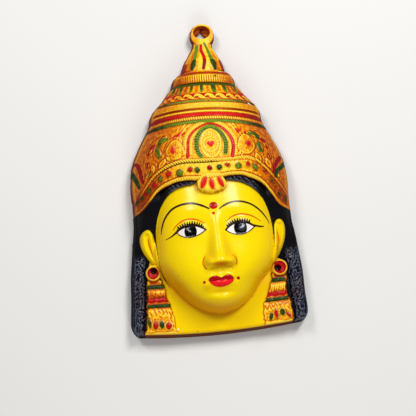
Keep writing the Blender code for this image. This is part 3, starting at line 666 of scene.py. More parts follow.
def tier_relief(x, y, level):
    """Carving of the first tier: arch, medallions, leaves, jewels and the engraved lines between them."""
    z = np.zeros(x.shape)
    far = ramp(14, 20, np.hypot(x, (y - 140) * 0.8))
    z += 0.58 * far * (np.abs(noise(x / 5.2, y / 5.6, 91)) - 0.15) * ramp(129, 132, level) * ramp(156, 153, level)
    z += 0.15 * far * noise(x / 2.4, y / 2.8, 92)
    green, run = stroke(x, y, GREEN_ARCH, (3.2, 3.6, 3.6, 3.6, 3.4))
    z += 0.95 * np.sqrt(np.clip((green + 0.2) / 1.9, 0, 1))
    z -= 0.55 * ramp(0.0, 0.5, green) * np.abs(np.cos(math.pi * run / 1.8)) ** 3
    red, _ = stroke(x, y, RED_ARCH, (2.9, 2.2, 1.9, 2.2, 2.6, 2.9))
    z -= 0.35 * ramp(-0.4, 0.5, red)
    for gap, cord, deep in ((2.35, 1.5, 0.75), (-2.15, 1.1, 0.55)):        # gold cords on both sides of the red
        rim = smooth_line(RED_ARCH)
        d, along, side, total = near_line(x, y, rim)
        off = d * side - gap
        body = np.sqrt(np.clip(1 - (off / cord) ** 2, 0, 1)) * (along > 1.0) * (along < total - 1.0)
        z += deep * body * (1 - 0.45 * np.abs(np.cos(math.pi * along / 1.25)) ** 3)
    # engraved arcs round the arch
    d, along, side, total = near_line(x, y, smooth_line(RED_ARCH))
    out = d * side
    arcs = np.cos(2 * math.pi * (out - 4.1) / 2.0)
    z += 0.13 * arcs * ramp(3.8, 4.8, out) * ramp(11.5, 8.0, out) * ramp(140, 146, y) * ramp(156.0, 154.4, level)
    # panel inside the arch, with fine rays
    cx, cy, rx, ry = ARCH_OVAL
    o = oval(x, y, cx, cy, rx, ry)
    z += 0.45 * np.exp(-((o - 0.2) / 0.6) ** 2)
    ang = np.arctan2(y - HEART[1], x - HEART[0])
    rad = np.hypot(x - HEART[0], y - HEART[1])
    z += 0.10 * np.cos(ang * 26) * ramp(0.6, 1.4, o) * ramp(3.0, 4.2, rad)
    z += 0.40 * np.exp(-((rad - 5.4) / 0.55) ** 2) * (o > 0.3) * (1 + 0.5 * np.cos(ang * 17))
    h = heart(x, y)
    z += 0.65 * np.clip((h + 0.3) / 1.6, 0, 1) ** 0.6
    # medallions
    for cx, cy, rx, ry, turn in MEDALLIONS:
        m = oval(x, y, cx, cy, rx, ry, turn, point=0.32)
        z += 0.75 * np.clip((m + 0.1) / 1.2, 0, 1) ** 0.6
        z -= 0.18 * np.exp(-((m - 1.5) / 0.50) ** 2)
        z -= 0.17 * np.exp(-((m + 0.35) / 0.45) ** 2)
        a = np.arctan2(y - cy, x - cx)
        z += 0.08 * np.cos(a * 15 + 1) * ramp(1.6, 2.4, m)
    for cx, cy, rx, ry, turn, _ in DROPS:
        g = oval(x, y, cx, cy, rx, ry, turn, point=0.4)
        z += 0.6 * np.clip((g + 0.2) / 1.2, 0, 1) ** 0.6
    # leaves with a midrib
    for cx, cy, long_, wide_, turn in LEAVES:
        here = (np.abs(x - cx) < 7) & (np.abs(y - cy) < 7)
        if here.any():
            d, u, v = leaf(x[here], y[here], cx, cy, long_, wide_, turn)
            z[here] += 0.75 * np.clip((d + 0.1) / 0.9, 0, 1) ** 0.6
            z[here] -= 0.30 * np.exp(-((d + 0.45) / 0.35) ** 2)
            z[here] -= 0.25 * np.exp(-(u / 0.3) ** 2) * ramp(0.2, 0.6, d)
    # scrolling stems cut between the leaves
    for points in STEMS:
        d, _ = stroke(x, y, points, (0.7, 0.8, 0.5))
        z -= 0.32 * ramp(-0.45, 0.2, d)
    # jewels between the border and the rope
    for cx, cy, rx, ry, turn, _ in GEMS:
        here = (np.abs(x - cx) < 5) & (np.abs(y - cy) < 5)
        if here.any():
            g = oval(x[here], y[here], cx, cy, rx, ry, turn)
            k = oval(x[here], y[here], cx, cy, rx + 0.75, ry + 0.75, turn)
            z[here] += 0.35 * np.clip(k / 0.5, 0, 1) - 0.30 * np.exp(-((g - 0.0) / 0.3) ** 2)
            z[here] += 0.75 * np.sqrt(np.clip(g / rx, 0, 1))
    # small beads between the jewels
    row = level - 121.2
    bead = np.cos(2 * math.pi * run_along(x, y, level) / 3.4)
    z += 0.22 * ramp(0.2, 0.9, bead) * np.exp(-((row - 3.3) / 0.7) ** 2)
    z += 0.22 * ramp(0.2, 0.9, bead) * np.exp(-((row + 3.6) / 0.7) ** 2) * (np.abs(x + 1.5) > 12)
    return z


def heart(x, y):
    a, _ = stroke(x, y, ((HEART[0] - 1.35, HEART[1] + 0.9), (HEART[0] + 0.1, HEART[1] - 1.9)), (2.9, 0.9))
    b, _ = stroke(x, y, ((HEART[0] + 1.35, HEART[1] + 0.9), (HEART[0] + 0.1, HEART[1] - 1.9)), (2.9, 0.9))
    return np.maximum(a, b)


SPECKS = ((-29.4, 45.4), (24.6, 27.4), (9.6, 48.2), (-17.6, 4.6))
DROPS = ((-28.0, 136.4, 1.5, 2.9, -8, "red"), (27.5, 138.6, 1.9, 2.2, 10, "red"))
STEMS = (((-31.2, 143.4), (-33.8, 139.6), (-34.6, 134.0), (-32.6, 129.4)), ((-40.8, 143.6), (-42.6, 138.0), (-42.4, 131.4)),
         ((-40.9, 131.0), (-39.4, 127.8), (-40.6, 123.4)), ((-33.0, 148.6), (-39.4, 147.4), (-44.6, 143.2)),
         ((-49.4, 134.4), (-50.4, 128.0), (-48.8, 121.2)), ((-56.0, 120.0), (-55.4, 113.6), (-52.4, 109.8)),
         ((-22.0, 131.2), (-19.6, 136.5), (-20.4, 143.6)), ((31.8, 143.0), (33.2, 138.2), (31.6, 131.6)),
         ((38.4, 143.8), (39.6, 137.0), (38.2, 129.6)), ((38.6, 131.0), (39.6, 126.6), (38.0, 122.6)),
         ((45.9, 134.4), (46.8, 128.6), (45.4, 122.6)), ((33.0, 149.4), (39.0, 147.0), (43.4, 142.6)),
         ((21.4, 128.9), (19.2, 134.4), (20.2, 142.8)), ((50.8, 121.0), (50.4, 114.6), (48.0, 110.4)))


def modelling(x, y, level):
    """The modelled front, before its outline is cut."""
    z = np.zeros(x.shape)
    below, above = level < 114.4, level > 112.6
    z[below] = lower_part(x[below], y[below])
    c = np.zeros(x.shape)
    c[above] = crown(x[above], y[above], level[above])
    up = ramp(112.7, 113.5, level)
    z = z * (1 - up) + c * up
    here = (np.abs(x) < 18) & (y > 98) & (y < 122)
    f = fan(x[here], y[here])
    plate = 44.9 + 2.4 * np.clip((f + 0.1) / 1.7, 0, 1) ** 0.6
    for cx, cy, rx, ry, turn in FAN_PETALS:
        g = oval(x[here], y[here], cx, cy, rx, ry, turn)
        plate = plate + 0.45 * np.clip((g + 0.2) / 1.2, 0, 1) ** 0.6 - 0.35 * np.exp(-((g + 0.35) / 0.35) ** 2)
    z[here] = np.where((f > -0.1) & (y[here] < 118.5), np.maximum(z[here], plate), z[here])
    return z


def relief(x, y, level):
    """Height of the front over the back plane."""
    z = modelling(x, y, level)
    side, up = edge_distance(x, y)
    wall = WALL_SLOPE * np.maximum(side, 0)
    foot = 4.6 * np.maximum(up, 0)
    wall = low(wall, foot, 1.0)
    return np.maximum(low(z, wall, 1.1 + 1.9 * ramp(8, 16, y)), 0)


def hollow_width(y):
    return np.minimum(half_width(y) - RIM, stations(((0, 47), (50, 45.5), (95, 47), (115, 49), (135, 51), (260, 60)), y))


def hollow(x, y, level):
    w = hollow_width(y)
    s = np.clip(np.abs(x - lean(y)) / np.maximum(w, 1), 0, 1)
    top = np.interp(level, (0, 8, 20, 34, 60, 95, 125, 150, 175, 192, 203),
                    (0, 5, 7.5, 25, 34, 34, 36, 33, 23, 15, 0))
    # behind the neck it stays some millimetres under the front
    under = np.maximum(face_oval(*head_frame(x, y)), 13.6) - 4.6 + 30 * ramp(54, 66, level)
    return np.minimum(top * (1 - s**2.4) ** 0.75, under)


# ---------------------------------------------------------------- mesh building
ROW_STEP = ((0, 0.35), (1.2, 0.5), (3.5, 0.75), (8, 0.8), (34, 0.75), (40, 0.65), (46, 0.62), (49, 0.45), (54, 0.45), (57, 0.7), (66, 0.7), (70, 0.5), (88, 0.5),
            (92, 0.62), (105, 0.66), (112, 0.5), (117, 0.5), (128, 0.48), (132, 0.56), (152, 0.56), (155, 0.42),
            (176, 0.46), (183, 0.6), (188, 0.5), (197, 0.55), (203, 0.8), (226, 0.9))
EDGE_STEPS = (0.0, 0.35, 0.75, 1.2, 1.65, 2.1, 2.5)
INNER = ((0, 225), (180.5, 113), (206.0, 57))         # columns between the side walls, from this level up


def front_grid():
    """Points of the front in rows: (x, y, level) arrays and each row's length."""
    levels = [0.0]
    while levels[-1] < 225.2:
        levels.append(levels[-1] + float(np.interp(levels[-1], [s[0] for s in ROW_STEP], [s[1] for s in ROW_STEP])))
    levels[-1] = 225.6
    levels = np.array(levels)
    w = np.full(len(levels), 60.0)
    for _ in range(16):
        at = row_y(w, levels)
        w = half_width(at - bottom_edge(w) * (1 - ramp(0, 40, levels)))
    rows = []
    for level, width in zip(levels, w):
        count = [c for start, c in INNER if level >= start][-1]
        inset = 2.9 if level > 4 else 2.9 * (0.4 + 0.15 * level)
        u = np.linspace(-1, 1, count)
        u = np.sign(u) * np.abs(u) ** 0.95
        edge = np.array(EDGE_STEPS) * inset / 2.9
        x = np.concatenate([-width + edge, u * (width - inset), (width - edge)[::-1]]) + float(lean(level))
        key = np.concatenate([-2 + np.array(EDGE_STEPS) * 0.1, u, (2 - np.array(EDGE_STEPS) * 0.1)[::-1]])
        rows.append((level, x, row_y(x, np.full(len(x), level)), key))
    return rows


def stitch(a, b, ka, kb):
    """Faces between two rows of points, given their first indices and their sorted places."""
    if len(ka) == len(kb):
        return [(a + i, a + i + 1, b + i + 1, b + i) for i in range(len(ka) - 1)]
    out, i, j = [], 0, 0
    while i < len(ka) - 1 or j < len(kb) - 1:
        if j == len(kb) - 1 or (i < len(ka) - 1 and ka[i + 1] <= kb[j + 1]):
            out.append((a + i, a + i + 1, b + j))
            i += 1
        else:
            out.append((a + i, b + j + 1, b + j))
            j += 1
    return out


def closed_body(name, verts, faces, floor):
    """An open sheet closed underneath by a skirt and a flat floor."""
    me = bpy.data.meshes.new(name)
    me.from_pydata(verts, [], faces)
    obj = bpy.data.objects.new(name, me)
    bpy.context.scene.collection.objects.link(obj)
    bm = bmesh.new()
    bm.from_mesh(me)
    rim = [e for e in bm.edges if e.is_boundary]
    down = bmesh.ops.extrude_edge_only(bm, edges=rim)["geom"]
    for v in (g for g in down if isinstance(g, bmesh.types.BMVert)):
        v.co.z = floor * MM
    bmesh.ops.contextual_create(bm, geom=[e for e in bm.edges if e.is_boundary])
    bmesh.ops.recalc_face_normals(bm, faces=bm.faces)
    bmesh.ops.triangulate(bm, faces=[f for f in bm.faces if len(f.verts) > 4])
    bm.to_mesh(me)
    bm.free()
    return obj


def to_frame(x, y, z):
    return np.stack([x * MM, (y - MID_Y) * MM, z * MM], -1)


def front_body():
    rows = front_grid()
    x = np.concatenate([r[1] for r in rows])
    y = np.concatenate([r[2] for r in rows])
    level = np.concatenate([np.full(len(r[1]), r[0]) for r in rows])
    start = np.concatenate([[0], np.cumsum([len(r[1]) for r in rows])])
    z = relief(x, y, level)
    z[:start[1]] = 0
    z[start[-2]:] = 0
    z[start[-3]:start[-2]] = np.minimum(z[start[-3]:start[-2]], LOOP_T - 1.2)
    z[start[:-1]] = 0
    z[start[1:] - 1] = 0
    faces = []
    for r in range(len(rows) - 1):
        faces += stitch(int(start[r]), int(start[r + 1]), rows[r][3], rows[r + 1][3])
    body = closed_body("deity_mask", to_frame(x, y, z).tolist(), faces, -2.0)
    return body, (x, y, level, z)


def hollow_body():
    levels = np.linspace(9.5, 195.0, 90)
    u = np.sin(np.linspace(-math.pi / 2, math.pi / 2, 49))
    rows, cols = len(levels), len(u)
    w = hollow_width(levels)
    w[0] -= 4.0
    w[-1] -= 4.0
    xs = u[None, :] * w[:, None] + lean(levels)[:, None]
    ys = np.repeat(levels[:, None], cols, 1)
    zs = hollow(xs.ravel(), ys.ravel(), ys.ravel()).reshape(rows, cols)
    rough = 0.35 * noise(xs / 9, ys / 9, 61) + 0.12 * noise(xs / 3.5, ys / 3.5, 62)
    zs = np.maximum(zs + rough * np.clip(zs / 5, 0, 1), 0)
    zs[0, :] = zs[-1, :] = 0
    zs[:, 0] = zs[:, -1] = 0
    faces = []
    for r in range(rows - 1):
        faces += stitch(r * cols, (r + 1) * cols, u, u)
    return closed_body("hollow_cutter", to_frame(xs.ravel(), ys.ravel(), zs.ravel()).tolist(), faces, -5.0)


def turned(name, profile, sides, centre, squash=1.0):
    """A closed body turned from (radius, height) pairs, lowest first, standing at the centre."""
    verts, faces = [], []
    n = len(profile)
    for k in range(sides):
        a = 2 * math.pi * k / sides
        for r, h in profile:
            verts.append(((centre[0] + r * math.cos(a)) * MM, (centre[1] - MID_Y + squash * r * math.sin(a)) * MM, h * MM))
    for k in range(sides):
        j = (k + 1) % sides
        for i in range(n - 1):
            faces.append((k * n + i, j * n + i, j * n + i + 1, k * n + i + 1))
    faces.append([k * n for k in range(sides)][::-1])
    faces.append([k * n + n - 1 for k in range(sides)])
    me = bpy.data.meshes.new(name)
    me.from_pydata(verts, [], faces)
    obj = bpy.data.objects.new(name, me)
    bpy.context.scene.collection.objects.link(obj)
    bm = bmesh.new()
    bm.from_mesh(me)
    bmesh.ops.recalc_face_normals(bm, faces=bm.faces)
    bmesh.ops.triangulate(bm, faces=[f for f in bm.faces if len(f.verts) > 4])
    bm.to_mesh(me)
    bm.free()
    return obj


def loop_body():
    """The hanging loop: a disc with draft and an eased front edge, not quite round."""
    grow = (LOOP_R_BACK - LOOP_R_FRONT) / LOOP_T
    profile = [(LOOP_R_BACK - grow * h, h) for h in (-3.0, 0.0, 2.0, 4.0, 6.0, 8.0)]
    for a in np.linspace(0.1, math.pi / 2, 7):
        profile.append((LOOP_R_FRONT - 0.8 + 0.8 * math.cos(a), LOOP_T - 0.9 + 0.9 * math.sin(a)))
    profile += [(6.9, LOOP_T + 0.12), (5.0, LOOP_T + 0.12), (2.0, LOOP_T + 0.12)]
    return turned("loop_disc", profile, 112, (0.3, LOOP_Y), 0.985)


def loop_hole():
    """The tapered hole of the loop, as a cutter, with a rounded mouth."""
    grow = (EYE_R_FRONT - EYE_R_BACK) / LOOP_T
    profile = [(EYE_R_BACK - grow * 4.0, -4.0)] + [(EYE_R_BACK + grow * h, h) for h in (0, 2, 4, 6, 8, 9.2)]
    profile += [(EYE_R_FRONT + 0.1, 9.85), (EYE_R_FRONT + 0.3, 10.2), (EYE_R_FRONT + 0.6, 11.5)]
    return turned("loop_hole_cutter", profile, 96, (0.0, LOOP_Y + EYE_UP), EYE_SQUASH)


def floor_cut():
    bpy.ops.mesh.primitive_cube_add(size=1.0, location=(0, 0, -0.006))
    obj = bpy.context.active_object
    obj.name = "floor_cutter"
    obj.scale = (0.20, 0.30, 0.012)
    bpy.ops.object.transform_apply(location=False, rotation=False, scale=True)
    return obj


def spill(at, turn, long, high):
    """Plaster and paint left in the loop's hole: a flat lump that ends in a straight edge through `at`."""
    bm = bmesh.new()
    bmesh.ops.create_icosphere(bm, subdivisions=5, radius=1.0)
    c, t = math.cos(math.radians(turn)), math.sin(math.radians(turn))
    for v in bm.verts:
        n = v.co.normalized()
        boxy = 1.0 / (abs(n.x) ** 5 + abs(n.y) ** 5 + abs(n.z) ** 5) ** 0.2
        a, s, h = n.x * boxy, n.y * boxy, n.z * boxy
        lump = 0.22 * math.sin(5.1 * s + 2.0 * a) + 0.16 * math.sin(9.0 * s - 3.0 * h)
        # out from the edge, along it, and up
        out, along = 3.0 * a + 3.0 + lump, long * s
        top = high * 0.5 * (h + 1) + (0.30 * out + lump if h > 0 else -2.0)
        v.co = Vector(((at[0] + out * c - along * t) * MM, (at[1] - MID_Y + out * t + along * c) * MM, top * MM))
    me = bpy.data.meshes.new("spill")
    bm.to_mesh(me)
    bm.free()
    obj = bpy.data.objects.new("spill", me)
    bpy.context.scene.collection.objects.link(obj)
    return obj


def carve(obj, other, operation):
    m = obj.modifiers.new(operation.lower(), "BOOLEAN")
    m.operation = operation
    m.solver = "MANIFOLD"
    m.object = other
    dg = bpy.context.evaluated_depsgraph_get()
    me = bpy.data.meshes.new_from_object(obj.evaluated_get(dg))
    obj.modifiers.clear()
    old = obj.data
    obj.data = me
    bpy.data.meshes.remove(old)
    bpy.data.objects.remove(other, do_unlink=True)


# ---------------------------------------------------------------- paint, as fields over the front
def paint(x, y, level, z):
    """Signed distances, in millimetres, to the edges of each colour, and soft shading fields."""
    out = {}
    face_in = patch(x, y, FACE)
    ears = np.maximum(patch(x, y, EAR_L), patch(x, y, EAR_R))
    neck = patch(x, y, NECK, n=4)
    top = np.clip(113.5 - level, FAR, 6)
    skin = np.maximum(np.maximum(face_in, ears), neck)
    gold = np.clip(level - 113.1 + 0.2 * noise(x / 5, y / 5, 71), FAR, 6)
    here = (np.abs(x) < 20) & (y > 98) & (y < 124)
    gold[here] = np.maximum(gold[here], fan(x[here], y[here]) + 0.1)
    red, green = np.full(x.shape, FAR), np.full(x.shape, FAR)
    dark, white = np.full(x.shape, FAR), np.full(x.shape, FAR)
    orange, rust, gem = (np.full(x.shape, FAR) for _ in range(3))

    def add(target, d):
        np.maximum(target, d, out=target)

    # earrings
    for side in (-1, 1):
        p, q = pendant(x, y, side)
        add(gold, np.clip(p - 0.1, FAR, 6))
        cx, cy, r0, hx, hy = STUDS[side]
        r = np.hypot(x - cx, (y - cy) * 0.97)
        add(gold, np.clip(r0 + 0.45 - r, FAR, 6))
        hook, _ = stroke(x, y, ((cx + side * 0.6, cy - 3), (cx - side * 0.5, 42.0)), (8.0, 12.5))
        add(gold, hook)
        add(red, np.clip(r0 - 0.5 - r, FAR, 6))
        add(dark, np.clip(2.45 - np.hypot(x - hx, y - hy), FAR, 6))
        o = 0.0 if side < 0 else -0.4
        rr = y - o - (0.0 if side < 0 else 0.06 * (x - 43.0))
        inside = np.clip(p - 0.2, FAR, 6)
        add(green, np.minimum(1.6 - np.abs(rr - 39.1), inside))
        add(red, np.minimum(1.8 + 0.25 * np.sin(x * 1.1) - np.abs(rr - 29.1), inside))
        add(green, np.minimum(1.45 - np.abs(rr - 24.9), inside - 0.3))
        for cx, cy, rx, ry, turn, colour in EARRING_GEMS[side]:
            g = oval(x, y, cx, cy, rx, ry, turn)
            add(red if colour == "red" else green, g)
            add(gem, g)
        add(orange, squiggles(x, y, side) + 0.1)
        # an uneven orange edge, and orange lines over and under the pendant's foot
        add(orange, np.minimum(0.16 - np.abs(p - 0.25 - 0.7 * noise(x / 1.6, y / 2.4, 25)) + 0.8 * noise(x / 1.9, y / 1.9, 26)
                               - 0.5 * ramp(17, 9, y) * (side < 0), 42.5 - y))
        base = 5.9 + 0.3 * np.cos(q * 15) if side < 0 else 9.4 + 0.5 * np.cos(q * 13)
        add(orange, np.minimum(0.45 - np.abs(y - base), inside + 1))
    # crown: bands
    run = run_along(x, y, level)
    wob = 0.18 * noise(x / 4.5, y / 4.5, 72)

    def band(lo_, hi_):
        return np.clip((hi_ - lo_) / 2 - np.abs(level - (lo_ + hi_) / 2) + wob, FAR, 6)

    add(green, band(155.3, 157.8))
    add(red, band(160.9, 163.6))
    add(green, band(172.6, 174.0))
    leaves, hook = np.full(x.shape, FAR), np.full(x.shape, FAR)
    at = (level > 170) & (level < 186)
    leaves[at], hook[at] = wave_leaves(run[at], level[at])
    add(red, np.minimum(band(176.4, 179.9), -leaves))
    add(red, np.minimum(band(176.8, 181.6), np.minimum(np.abs(x + 1.5) - 25.0, -leaves)))
    add(rust, hook)
    add(green, band(186.4, 188.6))
    # the finial: a rust line round its foot, its sides darkened
    add(rust, np.clip(0.95 - np.abs(level - 197.7) + 0.3 * noise(x / 2.2, y * 0 + 1, 78), FAR, 6))
    w = half_width(y) - 1.0
    far = (x - 0.3) / w
    sides = np.minimum(np.maximum((-far - 0.86) * w, (far - 0.78) * w), np.minimum(level - 196.8, 206.5 + 2.5 * (far > 0) - level))
    add(rust, np.clip(sides, FAR, 6))
    for cx, top_, bottom, slant, w in ((-24.3, 186.2, 182.6, 1.9, 1.9), (-19.1, 186.2, 180.6, 1.7, 2.0), (-11.1, 186.6, 181.9, 1.0, 2.1),
                                       (-3.7, 186.6, 181.7, 0.2, 2.3), (5.3, 186.6, 181.4, -0.9, 3.9), (13.8, 186.2, 181.0, -1.6, 2.4),
                                       (22.0, 185.2, 180.8, -2.0, 1.7)):
        s, _ = stroke(x, y, ((cx + slant * 0.5, top_), (cx - slant * 0.5, bottom)), (w, w * 0.9))
        add(green, s)
    # finial strokes
    add(green, stroke(x, y, ((-4.3, 220.8), (-5.0, 216.5), (-6.2, 212.4), (-6.8, 209.0)), (2.6, 2.9, 2.6, 2.2))[0])
    add(green, stroke(x, y, ((-7.0, 208.6), (-8.2, 205.2), (-9.3, 201.6)), (2.6, 4.3, 2.8))[0])
    add(red, stroke(x, y, ((-1.2, 221.2), (-1.4, 216.8), (0.1, 212.2), (0.6, 207.5), (-0.7, 201.6)), (1.9, 2.5, 2.5, 2.8, 2.6))[0])
    add(green, stroke(x, y, ((1.4, 222.8), (3.2, 218.2), (4.6, 213.8), (6.2, 208.8), (7.6, 204.8), (8.2, 201.2)), (1.8, 1.8, 2.2, 3.0, 4.4, 2.8))[0])
    add(green, oval(x, y, 7.4, 193.6, 1.2, 0.8))
    # tier: arch, heart, medallions, leaf strokes
    add(green, stroke(x, y, GREEN_ARCH, (3.0, 3.4, 3.3, 3.2, 3.0))[0])
    add(red, stroke(x, y, RED_ARCH, (2.9, 1.9, 1.7, 1.2, 1.2, 1.9, 2.5, 2.7, 2.9))[0])
    add(red, heart(x, y))
    for cx, cy, rx, ry, turn, _ in DROPS:
        add(red, oval(x, y, cx, cy, rx, ry, turn, point=0.4))
    for points, widths in (
            (((-27.6, 145.4), (-25.4, 147.2)), (1.7, 1.4)), (((-24.0, 146.8), (-21.8, 149.0)), (2.1, 1.5)),
            (((-20.6, 147.2), (-18.8, 148.2)), (1.7, 1.5)),
            (((-42.2, 141.8), (-44.6, 139.4), (-46.6, 135.6)), (2.8, 1.6, 1.4)),
            (((-47.0, 129.6), (-47.3, 126.2)), (1.7, 1.5)),
            (((-58.2, 130.6), (-56.2, 131.2), (-54.2, 128.8), (-52.4, 122.0), (-51.0, 115.4)), (2.2, 2.9, 2.8, 2.5, 1.9)),
            (((18.4, 149.4), (20.6, 147.0)), (1.3, 1.8)), (((20.2, 150.0), (21.8, 148.0)), (1.2, 1.4)),
            (((22.2, 150.4), (23.0, 149.0)), (1.1, 1.2)), (((25.6, 147.4), (25.9, 146.2)), (1.7, 1.7)),
            (((37.6, 142.6), (40.2, 140.6)), (2.0, 2.0)), (((40.9, 138.8), (42.2, 136.2)), (1.3, 1.6)),
            (((42.6, 131.4), (44.0, 127.4)), (1.5, 1.4)),
            (((51.8, 129.4), (48.6, 125.4), (46.2, 120.6), (45.2, 116.6)), (3.2, 3.2, 2.8, 2.0)),
            (((-60.6, 107.8), (-60.2, 104.2)), (1.6, 1.4))):
        add(red, stroke(x, y, points, widths)[0])
    for points, widths in (
            (((-37.8, 141.2), (-36.8, 144.0), (-33.6, 145.6), (-31.6, 145.0)), (2.2, 3.0, 3.0, 2.6)),
            (((-39.0, 138.2), (-37.9, 132.8)), (3.4, 2.6)),
            (((-59.4, 125.6), (-57.6, 121.0), (-55.6, 116.8), (-54.2, 112.4)), (2.9, 3.3, 3.2, 2.0)),
            (((-47.2, 119.6), (-45.2, 121.8)), (1.0, 1.6)),
            (((28.6, 146.0), (31.6, 146.8), (34.4, 145.2), (35.6, 143.2)), (2.4, 2.9, 2.9, 2.4)),
            (((35.2, 138.6), (36.9, 133.4)), (3.1, 3.0)),
            (((54.6, 124.8), (51.4, 121.4), (48.4, 118.8), (46.9, 114.8)), (3.4, 3.1, 3.2, 2.8))):
        add(green, stroke(x, y, points, widths)[0])
    for cx, cy, rx, ry, turn, colour in GEMS:
        g = oval(x, y, cx, cy, rx, ry, turn) + 0.56 * noise(x / 1.3, y / 1.3, 93) - 0.16
        add(red if colour == "red" else green, g)
        add(gem, g)
    # cuts of the notched rolls and cords: place in notches, and how dark the cuts are
    beat, cuts = np.zeros(x.shape), np.zeros(x.shape)
    for i, (lo_, hi_, pitch, slant, _, ink) in enumerate(NOTCHES):
        at = (level > lo_ - 0.25) & (level < hi_ + 0.25)
        beat[at] = notch_phase(run[at], level[at], lo_, hi_, pitch, slant, 30 + i)
        cuts[at] = ink * np.clip(((hi_ - lo_) / 2 - np.abs(level[at] - (lo_ + hi_) / 2)) / 0.3 + 0.6, 0, 1)
    d, along = stroke(x, y, GREEN_ARCH, (3.0, 3.4, 3.3, 3.2, 3.0))
    at = d > -0.3
    beat[at], cuts[at] = along[at] / 1.8 + 0.5, 1.9 * np.clip(d[at] / 0.4 + 0.4, 0, 1)
    at = (np.abs(x) < 24) & (y > 124) & (y < 160)
    d, along, side, total = near_line(x[at], y[at], smooth_line(RED_ARCH))
    for gap, cord in ((2.35, 1.3), (-2.15, 1.0)):
        off = np.abs(d * side - gap)
        on = (off < cord) & (along > 1.0) & (along < total - 1.0)
        b, c = beat[at], cuts[at]
        b[on], c[on] = along[on] / 1.25, 0.45 * np.clip((cord - off[on]) / 0.3, 0, 1)
        beat[at], cuts[at] = b, c
    # dark teeth under the rope over the jewels, left of the middle
    tooth = np.clip(1 - (level - 125.9) / 1.7, 0, 1) * (level > 125.5) * ramp(-45, -39, x) * ramp(7, 0, x)
    out.update(beat=beat, cuts=cuts, tooth=tooth, rust=rust, gem=gem)
    for cx, cy, rx, ry, turn in FAN_PETALS:
        add(red, oval(x, y, cx, cy, rx, ry, turn))
    # face paint: dot, lips, corners
    add(red, oval(x, y, -1.1, 94.2, 3.2, 2.65))
    add(red, oval(x, y, -1.5, 88.6, 1.15, 1.05))
    lips = patch(x, y, ((-8.1, 41.0), (-6.4, 42.6), (-3.1, 43.4), (-0.7, 42.8), (1.0, 41.9), (3.1, 43.0), (5.9, 43.8),
                        (8.3, 43.1), (9.9, 41.5), (10.1, 40.0), (9.2, 38.3), (7.2, 36.9), (4.4, 35.7), (0.6, 35.1), (-3.1, 35.6),
                        (-5.7, 37.0), (-7.5, 38.9)), n=6)
    add(red, lips)
    add(red, oval(x, y, -11.2, 39.2, 1.15, 1.1))
    add(red, oval(x, y, 13.4, 40.8, 1.3, 1.2))
    for cx, cy in SPECKS:
        add(dark, oval(x, y, cx, cy, 0.42, 0.42))
    # two chips down to the white plaster: on a roll of the crown and beside the left earring's foot
    add(white, stroke(x, y, ((30.9, 171.7), (32.6, 170.5)), (1.0, 0.7))[0])
    add(white, oval(x, y, -32.1, 6.9, 0.9, 0.5, 25))
    for side in (-1, 1):
        add(orange, stroke(x, y, EYES[side]["crease"], (0.6, 1.05, 1.15, 1.1, 0.7))[0])
    add(orange, stroke(x, y, ((-9.6, 57.6), (-10.9, 55.4), (-11.4, 52.9), (-10.7, 50.4), (-9.1, 48.5)), (0.4, 0.85, 0.95, 1.0, 1.0))[0])
    add(orange, stroke(x, y, ((9.2, 58.0), (11.6, 56.2), (12.8, 53.4), (12.2, 50.9)), (0.4, 0.9, 1.15, 0.95))[0])
    add(orange, stroke(x, y, ((-50.0, 74.4), (-49.6, 70.4), (-48.3, 65.4), (-46.7, 60.0)), (0.8, 1.3, 1.0, 0.6))[0])
    add(orange, stroke(x, y, ((45.6, 73.6), (46.2, 69.6), (45.6, 64.6), (44.7, 60.6)), (0.9, 1.3, 1.0, 0.5))[0])
    # dark lines: brows, line down the left edge of the face
    add(dark, stroke(x, y, ((-4.6, 92.2), (-8.6, 94.3), (-13.6, 96.2), (-18.6, 97.0), (-24.8, 96.4), (-30.6, 94.2), (-35.0, 90.2),
                            (-37.8, 85.6), (-39.4, 80.6), (-40.2, 76.4)), (1.3, 1.6, 1.65, 1.65, 1.65, 1.6, 1.5, 1.35, 1.1, 0.5))[0])
    add(dark, stroke(x, y, ((3.0, 91.6), (6.4, 93.8), (11.6, 95.9), (17.6, 96.4), (23.6, 95.2), (28.6, 92.8), (33.0, 89.4),
                            (36.6, 85.2), (38.9, 81.4), (39.4, 79.4)), (0.8, 1.5, 1.5, 1.5, 1.5, 1.4, 1.35, 1.25, 1.0, 0.45))[0])
    add(dark, stroke(x, y, ((-44.6, 75.5), (-44.0, 66.0), (-43.2, 58.5), (-41.9, 50.9), (-39.7, 44.4), (-35.8, 37.6)),
                     (1.2, 0.7, 0.45, 0.55, 0.95, 0.6))[0])
    add(dark, stroke(x, y, ((42.6, 84.0), (42.9, 77.0), (42.8, 70.0), (42.3, 62.0)), (1.4, 0.9, 0.5, 0.2))[0])
    # eyes
    lid_up, lid_run, lash, iris = np.where(y > 77, 6.0, FAR), np.zeros(x.shape), np.full(x.shape, FAR), np.full(x.shape, FAR)
    for side in (-1, 1):
        e = EYES[side]
        over, above, t = lids(x, y, side)
        here = (t > -0.25) & (t < 1.25) & (np.abs(y - 77) < 9)
        opening = np.minimum(np.minimum(-over, above), np.minimum(t, 1 - t) * 40)
        white = np.where(here, np.maximum(white, np.clip(opening, FAR, 6)), white)
        ix, iy, rx, ry = e["iris"]
        k = np.minimum(oval(x, y, ix, iy, rx, ry), opening + 0.3)
        iris = np.where(here, np.maximum(iris, k), iris)
        add(dark, stroke(x, y, e["upper"], (1.1, 1.9, 2.0, 1.9, 1.7, 1.1) if side < 0 else (1.2, 1.8, 1.8, 1.7, 1.4))[0])
        add(dark, stroke(x, y, e["lower"], (0.9, 0.9, 0.85, 0.8, 0.8, 0.9))[0])
        add(dark, stroke(x, y, e["tail"], (1.8, 1.3, 0.9, 0.45) if side < 0 else (1.4, 1.4, 1.4, 0.8))[0])
